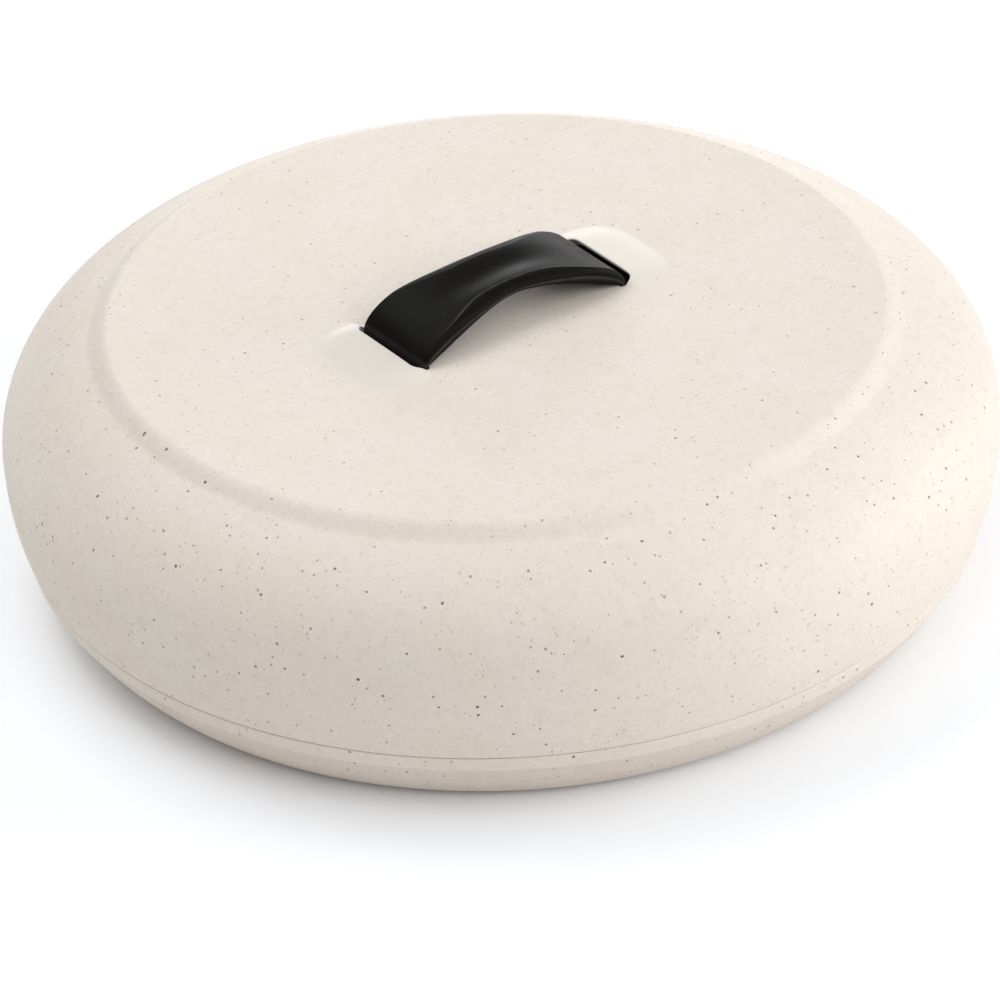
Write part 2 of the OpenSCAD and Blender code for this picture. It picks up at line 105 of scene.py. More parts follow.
@dataclass(frozen=True)
class Quarter:
    """A rounded quarter curve from its widest point to the height where it runs flat."""

    centre_r: float
    centre_z: float
    run: float
    rise: float
    full: float

    def z_at(self, r: float) -> float:
        """Height of the curve at radius r."""
        share = min(max((r - self.centre_r) / self.run, 0.0), 1.0)
        return self.centre_z + self.rise * (1 - share**self.full) ** (1 / self.full)

    def r_at(self, z: float) -> float:
        """Radius of the curve at height z."""
        share = min(max((z - self.centre_z) / self.rise, 0.0), 1.0)
        return self.centre_r + self.run * (1 - share**self.full) ** (1 / self.full)

    def points(self, z0: float, z1: float, steps: int) -> list[Point2]:
        """Points of the curve between two heights.

        Args:
            z0: Height of the first point.
            z1: Height of the last point.
            steps: How many segments there are.

        Returns:
            The points from z0 to z1.
        """

        def turn(z: float) -> float:
            return math.asin(min(max((z - self.centre_z) / self.rise, 0.0), 1.0) ** (self.full / 2))

        a0, a1 = turn(z0), turn(z1)
        found = []
        for i in range(steps + 1):
            a = a0 + (a1 - a0) * i / steps
            out, up = (max(v, 0.0) ** (2 / self.full) for v in (math.cos(a), math.sin(a)))
            found.append((self.centre_r + self.run * out, self.centre_z + self.rise * up))
        return found


@dataclass(frozen=True)
class WarmerForm:
    """The sizes of the part that its visible pieces follow."""

    outer_r: float = 150.0
    belly_z: float = 46.3
    shoulder_rise: float = 35.9
    shoulder_run: float = 45.6
    shoulder_full: float = 2.03
    underbelly_drop: float = 58.1
    underbelly_run: float = 55.5
    underbelly_full: float = 2.22
    disc_inset: float = 34.5
    disc_step: float = 4.1
    disc_edge_w: float = 6.8
    seam_z: float = 23.0
    seam_edge_r: float = 0.4
    seam_gap: float = 0.16
    seam_seen: float = 1.2
    rim_band_h: float = 5.2
    rim_band_proud: float = 0.8
    rim_land_w: float = 3.0
    rim_ledge_w: float = 3.0
    foot_turn_z: float = 3.2
    foot_w: float = 8.0
    foot_hollow: float = 1.6
    shell_t: float = 2.4
    liner_t: float = 2.0
    flange_clear: float = 0.2
    well_inset: float = 15.1
    well_draft: float = 6.0
    base_gap_h: float = 3.0
    well_corner_r: float = 8.0
    lip_h: float = 6.0
    lip_clear: float = 0.5
    lid_gap_h: float = 9.6
    ceiling_run: float = 30.0
    ceiling_full: float = 2.2

    def upper(self, inset: float = 0.0) -> Quarter:
        """The shoulder curve, moved in by inset."""
        run, rise = self.shoulder_run, self.shoulder_rise
        return Quarter(self.outer_r - run, self.belly_z, run - inset, rise - inset, self.shoulder_full)

    def lower(self, inset: float = 0.0) -> Quarter:
        """The curve below the belly line, moved in by inset."""
        run, drop = self.underbelly_run, self.underbelly_drop
        return Quarter(self.outer_r - run, self.belly_z, run - inset, inset - drop, self.underbelly_full)

    def lean(self, z: float, span: float = 0.5) -> float:
        """Angle in degrees by which the lower wall leans out at height z."""
        wall = self.lower()
        return math.degrees(math.atan2(wall.r_at(z + span) - wall.r_at(z - span), 2 * span))

    @property
    def disc_r(self) -> float:
        """Radius of the disc's flat top."""
        return self.outer_r - self.disc_inset

    @property
    def disc_z(self) -> float:
        """Height of the disc's flat top."""
        return self.upper().z_at(self.disc_r + self.disc_edge_w) + self.disc_step

    @property
    def disc_under_z(self) -> float:
        """Height of the disc's underside."""
        return self.disc_z - self.shell_t

    @property
    def seam_r(self) -> float:
        """Radius of the seam between the lid and the base."""
        return self.lower().r_at(self.seam_z)

    @property
    def land_r(self) -> float:
        """Inner radius of the faces that the outer shells meet on."""
        return self.seam_r - self.rim_land_w

    @property
    def ledge_r(self) -> float:
        """Inner radius of the ledges that carry the liners."""
        return self.land_r - self.rim_ledge_w

    @property
    def band_z(self) -> float:
        """Height of the rim band's lower edge."""
        return self.seam_z - self.rim_band_h

    @property
    def lip_top_z(self) -> float:
        """Height of the locating lip's top."""
        return self.seam_z + self.lip_h

    @property
    def lip_r(self) -> float:
        """Outer radius of the locating lip."""
        return self.seam_r - self.well_inset + self.liner_t

    def well_r(self, z: float, grow: float) -> float:
        """Radius of the well's wall at height z, grown outwards."""
        draft = math.radians(self.well_draft)
        return self.seam_r - self.well_inset - (self.lip_top_z - z) * math.tan(draft) + grow / math.cos(draft)


# ---- Mesh helpers -----------------------------------------------------------


def add_object(name: str, mesh: Mesh) -> bpy.types.Object:
    """Links a mesh to the scene as an object at the origin.

    Args:
        name: The object's name.
        mesh: Its mesh.

    Returns:
        The object.
    """
    made = bpy.data.objects.new(name, mesh)
    bpy.context.scene.collection.objects.link(made)
    return made


def mesh_from(name: str, points: Iterable[Point3], faces: Iterable[tuple[int, ...]]) -> Mesh:
    """Makes a mesh from points in millimetres.

    Args:
        name: The mesh's name.
        points: The points in millimetres.
        faces: Tuples of point numbers.

    Returns:
        The mesh, in metres.
    """
    mesh = bpy.data.meshes.new(name)
    mesh.from_pydata([Vector(p) * MM for p in points], [], list(faces))
    mesh.update()
    return mesh


def weld(name: str, meshes: Iterable[Mesh], crisp: float = 32.0) -> Mesh:
    """Joins meshes that share edges into one closed, smooth-shaded mesh whose faces point outwards.

    Args:
        name: The new mesh's name.
        meshes: The meshes, which are removed.
        crisp: Edges sharper than this, in degrees, stay crisp.

    Returns:
        The welded mesh.
    """
    bm = bmesh.new()
    for mesh in meshes:
        bm.from_mesh(mesh)
        bpy.data.meshes.remove(mesh)
    bmesh.ops.remove_doubles(bm, verts=bm.verts, dist=WELD_GAP * MM)
    bmesh.ops.dissolve_degenerate(bm, dist=WELD_GAP * MM / 4, edges=bm.edges)
    bmesh.ops.delete(bm, geom=[v for v in bm.verts if not v.link_faces], context="VERTS")
    bmesh.ops.recalc_face_normals(bm, faces=bm.faces)
    if bm.calc_volume(signed=True) < 0:
        bmesh.ops.reverse_faces(bm, faces=bm.faces)
    holes = sum(1 for e in bm.edges if len(e.link_faces) != 2)
    if holes:
        log.warning("%s has %d open edges", name, holes)
    made = bpy.data.meshes.new(name)
    bm.to_mesh(made)
    bm.free()
    made.shade_smooth()
    made.set_sharp_from_angle(angle=math.radians(crisp))
    return made


# ---- Node trees -------------------------------------------------------------


class Graph:
    """Short calls for a node tree: add a node, join sockets, do sums."""

    def __init__(self, tree: bpy.types.NodeTree) -> None:
        """Keeps the tree that the calls work on."""
        self.tree = tree

    def put(self, socket: Socket, value: object) -> None:
        """Links or sets a value.

        Args:
            socket: The input that gets it.
            value: An output to link, or a plain value.
        """
        if isinstance(value, Socket):
            self.tree.links.new(value, socket)
        else:
            socket.default_value = value

    def node(self, kind: str, inputs: Optional[dict] = None, **options: object) -> bpy.types.Node:
        """Adds a node.

        Args:
            kind: The node's type name.
            inputs: Values or sockets for its inputs, by name or number.
            options: Properties that are set on the node.

        Returns:
            The node.
        """
        made = self.tree.nodes.new(kind)
        for key, value in options.items():
            setattr(made, key, value)
        for key, value in (inputs or {}).items():
            self.put(made.inputs[key], value)
        return made

    def sum(self, operation: str, *values: object) -> Socket:
        """Adds a Math node with these values and returns its output."""
        return self.node("ShaderNodeMath", dict(enumerate(values)), operation=operation).outputs[0]

    def ramp(
        self, value: object, low: object, high: object, start: float = 0.0, end: float = 1.0
    ) -> Socket:
        """Maps value from low..high to start..end with eased ends.

        Args:
            value: What is mapped.
            low: The value that gives start.
            high: The value that gives end.
            start: Result at low.
            end: Result at high.

        Returns:
            The mapped value.
        """
        keys = ("Value", "From Min", "From Max", "To Min", "To Max")
        inputs = dict(zip(keys, (value, low, high, start, end)))
        return self.node("ShaderNodeMapRange", inputs, interpolation_type="SMOOTHSTEP").outputs["Result"]

    def mix(self, share: object, a: object, b: object) -> Socket:
        """Mixes two colours and returns the result."""
        return self.node("ShaderNodeMix", {0: share, 6: a, 7: b}, data_type="RGBA").outputs[2]

    def move(self, place: object, by: object, operation: str = "ADD") -> Socket:
        """Adds a Vector Math node on two vectors and returns its output."""
        return self.node("ShaderNodeVectorMath", {0: place, 1: by}, operation=operation).outputs[0]


def node_group(name: str, kind: str, inputs: dict[str, str], outputs: dict[str, str]) -> Graph:
    """Starts a node group with named sockets.

    Args:
        name: The group's name.
        kind: Shader or Geometry.
        inputs: Socket kinds by name.
        outputs: Socket kinds by name.

    Returns:
        The group's graph.
    """
    tree = bpy.data.node_groups.new(name, kind + "NodeTree")
    for way, sockets in (("INPUT", inputs), ("OUTPUT", outputs)):
        for key, socket in sockets.items():
            tree.interface.new_socket(key, in_out=way, socket_type="NodeSocket" + socket)
    return Graph(tree)


class TurnedSkins:
    """Turns a profile about +Z with one Geometry Nodes tree that all the round pieces share."""

    SEGMENTS = 288
    INPUTS = {"Profile": "Geometry", "Segments": "Int", "Weld Distance": "Float", "Finish": "Material"}

    def __init__(self) -> None:
        """Builds the tree."""
        g = node_group("turned_skin", "Geometry", self.INPUTS, {"Skin": "Geometry"})
        self.tree = g.tree
        given = g.node("NodeGroupInput").outputs
        profile, segments = given["Profile"], given["Segments"]
        rows = g.node("GeometryNodeAttributeDomainSize", {"Geometry": profile}).outputs["Point Count"]
        counts = {"Vertices X": g.sum("ADD", segments, 1.0), "Vertices Y": rows}
        grid = g.node("GeometryNodeMeshGrid", counts).outputs["Mesh"]
        index = g.node("GeometryNodeInputIndex").outputs[0]
        column = g.sum("FLOOR", g.sum("DIVIDE", index, rows))
        row = g.sum("SUBTRACT", index, g.sum("MULTIPLY", column, rows))
        wanted = {"Geometry": profile, "Value": g.node("GeometryNodeInputPosition").outputs[0], "Index": row}
        sample = g.node("GeometryNodeSampleIndex", wanted, data_type="FLOAT_VECTOR").outputs["Value"]
        point = g.node("ShaderNodeSeparateXYZ", {0: sample}).outputs
        turn = g.sum("MULTIPLY", g.sum("DIVIDE", column, segments), math.tau)
        x, y = (g.sum("MULTIPLY", point["X"], g.sum(wave, turn)) for wave in ("COSINE", "SINE"))
        place = g.node("ShaderNodeCombineXYZ", {"X": x, "Y": y, "Z": point["Z"]}).outputs[0]
        bent = g.node("GeometryNodeSetPosition", {"Geometry": grid, "Position": place}).outputs[0]
        welding = {"Geometry": bent, "Distance": given["Weld Distance"]}
        closed = g.node("GeometryNodeMergeByDistance", welding).outputs[0]
        real = g.node("GeometryNodeRealizeInstances", {0: closed}).outputs[0]
        dressed = g.node("GeometryNodeSetMaterial", {"Geometry": real, "Material": given["Finish"]})
        g.node("NodeGroupOutput", {0: dressed.outputs[0]})

    def turn(self, name: str, profile: list[Point2], finish: bpy.types.Material) -> Mesh:
        """Turns a profile into a plain mesh.

        Args:
            name: The mesh's name.
            profile: (radius, height) points in millimetres.
            finish: The material that the tree sets.

        Returns:
            The turned mesh, which is open where the profile ends off the axis.
        """
        line = bpy.data.meshes.new(name + "_profile")
        edges = [(i, i + 1) for i in range(len(profile) - 1)]
        line.from_pydata([Vector((r, 0, z)) * MM for r, z in profile], edges, [])
        carrier = add_object(name + "_profile", line)
        modifier = carrier.modifiers.new("turned_skin", "NODES")
        modifier.node_group = self.tree
        values = {"Segments": self.SEGMENTS, "Weld Distance": WELD_GAP * MM, "Finish": finish}
        for item in self.tree.interface.items_tree:
            if item.in_out == "INPUT" and item.name in values:
                modifier[item.identifier] = values[item.name]
        graph = bpy.context.evaluated_depsgraph_get()
        made = bpy.data.meshes.new_from_object(carrier.evaluated_get(graph), depsgraph=graph)
        made.name = name
        bpy.data.objects.remove(carrier)
        bpy.data.meshes.remove(line)
        return made


# ---- Finishes ---------------------------------------------------------------


class Effects:
    """Effects that several finishes use, each a shader group that puts out values only."""

    def __init__(self) -> None:
        """Builds the groups once."""
        self.grain = self._grain()
        self.specks = self._specks()

    @staticmethod
    def _grain() -> bpy.types.NodeTree:
        """Fine moulded grain.

        Returns:
            The group, which puts out a height from 0 to 1.
        """
        inputs = {"Vector": "Vector", "Scale": "Float", "Waviness": "Float"}
        g = node_group("moulded_grain", "Shader", inputs, {"Height": "Float"})
        given = g.node("NodeGroupInput").outputs
        look = {"Vector": given["Vector"], "Scale": given["Scale"], "Detail": 2.0, "Roughness": 0.55}
        fine = g.node("ShaderNodeTexNoise", look)
        broad = g.node("ShaderNodeTexNoise", {"Vector": given["Vector"], "Scale": 90.0, "Detail": 1.0})
        wave = g.sum("MULTIPLY", broad.outputs[0], given["Waviness"])
        g.node("NodeGroupOutput", {"Height": g.sum("ADD", fine.outputs[0], wave)})
        return g.tree

    @staticmethod
    def _specks() -> bpy.types.NodeTree:
        """Scattered specks cut from balls in space.

        Returns:
            The group, which puts out a mask from 0 to 1 and a random value for each speck.
        """
        inputs = {"Vector": "Vector", **dict.fromkeys(("Scale", "Radius", "Softness", "Raggedness"), "Float")}
        g = node_group("scattered_specks", "Shader", inputs, {"Mask": "Float", "Random": "Float"})
        given = g.node("NodeGroupInput").outputs
        wobble = g.node("ShaderNodeTexNoise", {"Vector": given["Vector"], "Scale": 2300.0, "Detail": 1.0})
        centred = g.move(wobble.outputs["Color"], (0.5, 0.5, 0.5), "SUBTRACT")
        push = g.node("ShaderNodeVectorMath", {0: centred, "Scale": given["Raggedness"]}, operation="SCALE")
        place = g.move(given["Vector"], push.outputs[0])
        cells = g.node("ShaderNodeTexVoronoi", {"Vector": place, "Scale": given["Scale"]})
        chance = g.node("ShaderNodeSeparateColor", {0: cells.outputs["Color"]})
        size = g.sum("MULTIPLY_ADD", chance.outputs[0], 0.9, 0.45)
        reach = g.sum("MULTIPLY", g.sum("MULTIPLY", given["Radius"], given["Scale"]), size)
        inner = g.sum("MULTIPLY", reach, g.sum("SUBTRACT", 1.0, given["Softness"]))
        mask = g.ramp(cells.outputs["Distance"], inner, reach, 1.0, 0.0)
        g.node("NodeGroupOutput", {"Mask": mask, "Random": chance.outputs[1]})
        return g.tree


class Finish:
    """Base of the finishes: a material with one Principled shader and a graph."""

    name: str
    slot: Slot

    def __init__(self, effects: Effects) -> None:
        """Makes the material and lets the finish dress it.

        Args:
            effects: The shared shader groups.
        """
        self.effects = effects
        self.material = bpy.data.materials.new(self.name)
        self.material.use_nodes = True
        self.material.node_tree.nodes.clear()
        self.graph = Graph(self.material.node_tree)
        self.shader = self.graph.node("ShaderNodeBsdfPrincipled")
        self.graph.node("ShaderNodeOutputMaterial", {"Surface": self.shader.outputs[0]})
        self.place = self.graph.node("ShaderNodeTexCoord").outputs["Object"]
        self.dress()

    def dress(self) -> None:
        """Sets the shader's colours and relief."""
        raise NotImplementedError

    def noise(self, scale: float, detail: float) -> Socket:
        """Adds noise over the piece and returns its value."""
        inputs = {"Vector": self.place, "Scale": scale, "Detail": detail}
        return self.graph.node("ShaderNodeTexNoise", inputs).outputs[0]

    def specks(self, scale: float, radius: float, softness: float, moved: Point3 = (0.0, 0.0, 0.0)) -> list:
        """Places the shared specks.

        Args:
            scale: Cells for each metre.
            radius: A middling speck's radius in metres.
            softness: Share of the radius over which a speck fades.
            moved: Shifts the pattern, so that layers differ.

        Returns:
            The mask and the random value.
        """
        inputs = {"Vector": self.graph.move(self.place, moved), "Scale": scale, "Radius": radius}
        inputs |= {"Softness": softness, "Raggedness": 0.0005}
        return list(self.graph.node("ShaderNodeGroup", inputs, node_tree=self.effects.specks).outputs)

    def grain(self, scale: float, waviness: float) -> Socket:
        """Places the shared grain and returns its height."""
        inputs = {"Vector": self.place, "Scale": scale, "Waviness": waviness}
        return self.graph.node("ShaderNodeGroup", inputs, node_tree=self.effects.grain).outputs["Height"]

    def set(self, **values: object) -> None:
        """Sets plain values or links on the shader's sockets, where an underscore stands for a space."""
        for key, value in values.items():
            self.graph.put(self.shader.inputs[key.replace("_", " ")], value)

    def bump(self, height: object, distance: float, strength: object = 1.0) -> None:
        """Gives the shader relief from a height, over a distance."""
        inputs = {"Height": height, "Distance": distance, "Strength": strength}
        self.set(Normal=self.graph.node("ShaderNodeBump", inputs).outputs[0])


@dataclass(frozen=True)
class SpeckLayer:
    """One population of specks in the plastic."""

    scale: float
    radius: float
    softness: float
    strength: float
    on_disc: float
    colour: Colour
    moved: Point3


class SpeckledPlastic(Finish):
    """Cream plastic with fine moulded grain and grey-brown specks, glossier on the hoods of the lid, with
    painted shade on the hoods and on the base's wall below the rim band.
    """

    name = "speckled_cream_plastic"
    slot = Slot.SHELL
    LIGHT = (0.857, 0.787, 0.708, 1.0)
    WARM = (0.850, 0.770, 0.688, 1.0)
    CLOUD = (0.62, 0.54, 0.46, 1.0)
    PAINTED_WALL_SHADE = (0.55, 0.46, 0.41, 1.0)
    SHADED_HOOD_CREAM = (0.80, 0.748, 0.678, 1.0)
    PAINTED_SHADE_TOP = (0.0176, 0.0179)
    DISC_EDGE = (0.112, 0.121)
    LAYERS = (
        SpeckLayer(250.0, 0.00040, 0.45, 0.95, 0.85, (0.16, 0.12, 0.09, 1.0), (0.0, 0.0, 0.0)),
        SpeckLayer(290.0, 0.00066, 0.95, 0.38, 0.8, (0.42, 0.33, 0.27, 1.0), (0.31, 0.17, 0.05)),
        SpeckLayer(560.0, 0.00027, 0.5, 0.62, 0.75, (0.33, 0.27, 0.22, 1.0), (0.11, 0.43, 0.29)),
        SpeckLayer(250.0, 0.00046, 0.4, 1.0, 0.12, (0.10, 0.07, 0.05, 1.0), (0.23, 0.08, 0.37)),
    )

    def dress(self) -> None:
        """Sets the shader's colours and relief."""
        g = self.graph
        axes = g.node("ShaderNodeSeparateXYZ", {0: self.place}).outputs
        hood, dome = self.hood_mask(axes), self.dome_mask(axes)
        bare = g.sum("SUBTRACT", 1.0, g.sum("MULTIPLY", hood, 0.8))
        colour = g.mix(g.ramp(self.noise(34.0, 2.0), 0.35, 0.65), self.LIGHT, self.WARM)
        colour = g.mix(g.ramp(self.noise(210.0, 1.0), 0.45, 0.8, 0.0, 0.12), colour, self.CLOUD)
        colour = g.mix(g.ramp(self.noise(620.0, 2.0), 0.35, 0.75, 0.0, 0.16), colour, self.CLOUD)
        # The hoods get speck-free cream that is darker than the rest. This is partly their own smooth finish
        # and partly painted shade on the hoods.
        colour = g.mix(hood, colour, self.SHADED_HOOD_CREAM)
        # Painted shade: below the rim band the base's wall is mixed 16% towards a darker colour, for the
        # shade under the band.
        colour = g.mix(g.ramp(axes["Z"], *self.PAINTED_SHADE_TOP, 0.16, 0.0), colour, self.PAINTED_WALL_SHADE)
        for layer in self.LAYERS:
            mask, chance = self.specks(layer.scale, layer.radius, layer.softness, layer.moved)
            share = g.sum("MULTIPLY", mask, g.sum("MULTIPLY_ADD", chance, 0.6, 0.4))
            strength = g.ramp(dome, 0.0, 1.0, layer.strength * layer.on_disc, layer.strength)
            share = g.sum("MULTIPLY", g.sum("MULTIPLY", share, strength), bare)
            colour = g.mix(share, colour, layer.colour)
        gloss = g.sum("MULTIPLY_ADD", hood, -0.1, 0.48)
        self.set(Base_Color=colour, Roughness=gloss, Specular_IOR_Level=0.45)
        self.bump(self.grain(1500.0, 0.1), 0.00008, g.sum("MULTIPLY_ADD", hood, -0.85, 1.0))

    def dome_mask(self, axes: bpy.types.bpy_prop_collection) -> Socket:
        """Share of the stronger specks of the lid's dome and the base, which the disc has fewer of.

        Args:
            axes: The point's X, Y and Z.

        Returns:
            The mask.
        """
        g = self.graph
        squares = (g.sum("MULTIPLY", axes[axis], axes[axis]) for axis in "XY")
        return g.ramp(g.sum("SQRT", g.sum("ADD", *squares)), *self.DISC_EDGE)

    def hood_mask(self, axes: bpy.types.bpy_prop_collection) -> Socket:
        """Share of the smooth hood finish, and of the hoods' painted shade, at each point of the lid.

        Args:
            axes: The point's X, Y and Z.

        Returns:
            The mask.
        """
        g, form = self.graph, HoodForm()
        along = g.sum("SUBTRACT", g.sum("ABSOLUTE", axes["X"]), form.hood_x * MM)
        behind = g.sum("GREATER_THAN", along, 0.0)
        run = g.sum("MULTIPLY_ADD", behind, (form.depth - form.front_run) * MM, form.front_run * MM)
        shares = g.sum("DIVIDE", along, run), g.sum("DIVIDE", axes["Y"], form.half_w * MM)
        powers = (g.sum("POWER", g.sum("ABSOLUTE", share), form.square) for share in shares)
        reach = g.sum("POWER", g.sum("ADD", *powers), 1 / form.square)
        return g.sum("MULTIPLY", g.ramp(reach, 0.7, 1.05, 1.0, 0.0), g.ramp(axes["Z"], 0.079, 0.081))


class LinerPlastic(Finish):
    """Smooth cream plastic of the liners."""

    name = "smooth_liner_plastic"
    slot = Slot.LINER

    def dress(self) -> None:
        """Sets the shader's colours and relief."""
        tint = self.noise(22.0, 2.0)
        colour = self.graph.mix(tint, (0.84, 0.80, 0.735, 1.0), (0.81, 0.765, 0.70, 1.0))
        self.set(Base_Color=colour, Roughness=self.graph.ramp(tint, 0.3, 0.7, 0.26, 0.34))
        self.bump(self.grain(900.0, 0.6), 0.00001)


class FoamFill(Finish):
    """Pale closed-cell foam in the double walls."""

    name = "closed_cell_foam"
    slot = Slot.FOAM

    def dress(self) -> None:
        """Sets the shader's colours and relief."""
        g = self.graph
        cells = g.node("ShaderNodeTexVoronoi", {"Vector": self.place, "Scale": 1100.0}).outputs["Distance"]
        colour = g.mix(g.ramp(cells, 0.1, 0.7), (0.86, 0.79, 0.56, 1.0), (0.72, 0.64, 0.42, 1.0))
        self.set(Base_Color=colour, Roughness=0.85)
        self.bump(cells, 0.0003)


class StrapPlastic(Finish):
    """Satin black plastic of the strap, glossier on its ridges and edges with painted highlight lines there,
    with a trace of dust.
    """

    name = "satin_black_strap"
    slot = Slot.STRAP

    def dress(self) -> None:
        """Sets the shader's colours and relief."""
        g = self.graph
        tint = self.noise(60.0, 3.0)
        colour = g.mix(tint, (0.0038, 0.0035, 0.003, 1.0), (0.0072, 0.0066, 0.0056, 1.0))
        highlight_lines = g.node("ShaderNodeAttribute", attribute_name="highlight_lines").outputs["Fac"]
        painted_highlight = g.sum("MULTIPLY", highlight_lines, g.ramp(self.noise(260.0, 2.0), 0.3, 0.6, 0.55, 1.0))
        # Painted highlight: the ridge and edge lines are lifted to a paler grey, standing in for highlights
        # along them.
        colour = g.mix(painted_highlight, colour, (0.062, 0.060, 0.056, 1.0))
        mask, chance = self.specks(270.0, 0.00026, 0.6)
        dust = g.sum("MULTIPLY", mask, g.ramp(chance, 0.5, 1.0, 0.0, 0.55))
        colour = g.mix(dust, colour, (0.22, 0.20, 0.17, 1.0))
        gloss = g.sum("MULTIPLY_ADD", painted_highlight, -0.12, g.ramp(tint, 0.3, 0.7, 0.38, 0.46))
        self.set(Base_Color=colour, Roughness=gloss, Specular_IOR_Level=0.065)
        self.bump(self.grain(1400.0, 0.3), 0.000014)


class ZincSteel(Finish):
    """Zinc-plated steel of the screws."""

    name = "zinc_plated_steel"
    slot = Slot.SCREW

    def dress(self) -> None:
        """Sets the shader's colours and relief."""
        tint = self.noise(700.0, 3.0)
        colour = self.graph.mix(tint, (0.66, 0.66, 0.67, 1.0), (0.52, 0.52, 0.55, 1.0))
        self.set(Base_Color=colour, Metallic=1.0, Roughness=self.graph.ramp(tint, 0.3, 0.7, 0.24, 0.42))
        self.bump(tint, 0.00001)


# ---- Pieces -----------------------------------------------------------------


@dataclass(frozen=True)
class Shop:
    """What every sub-assembly needs to build its pieces."""

    form: WarmerForm
    skins: TurnedSkins
    shell: SpeckledPlastic
    liner: LinerPlastic
    foam: FoamFill
    strap: StrapPlastic
    steel: ZincSteel

    def place(self, name: str, mesh: Mesh, finish: Finish, body: Body, node: str) -> None:
        """Puts a finished piece on its body in place of its CAD node.

        Args:
            name: The piece's name.
            mesh: Its mesh.
            finish: Its finish, which knows the record's slot.
            body: The body that it rides on.
            node: The CAD node that it stands for.
        """
        mesh.materials.clear()
        mesh.materials.append(finish.material)
        piece = add_object(name, mesh)
        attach(piece, body.value)
        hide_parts(node)
        log.info("%s: %d faces on %s", name, len(mesh.polygons), body.value)

    def turned(
        self, name: str, profile: list[Point2], finish: Finish, body: Body, node: str, more: Iterable = ()
    ) -> None:
        """Builds and places a round piece.

        Args:
            name: The piece's name.
            profile: Its outline as (radius, height).
            finish: Its finish.
            body: The body that it rides on.
            node: The CAD node that it stands for.
            more: Meshes that are welded to it.
        """
        mesh = weld(name, [self.skins.turn(name, profile, finish.material), *more])
        self.place(name, mesh, finish, body, node)

    def keep(self, node: str, finish: Finish) -> None:
        """Gives a CAD node that stays a better material.

        Args:
            node: The CAD node.
            finish: Its finish.
        """
        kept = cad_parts[node]
        kept.data.materials.clear()
        kept.data.materials.append(finish.material)
        log.info("%s: CAD node kept, finish for %s", node, finish.slot.value)


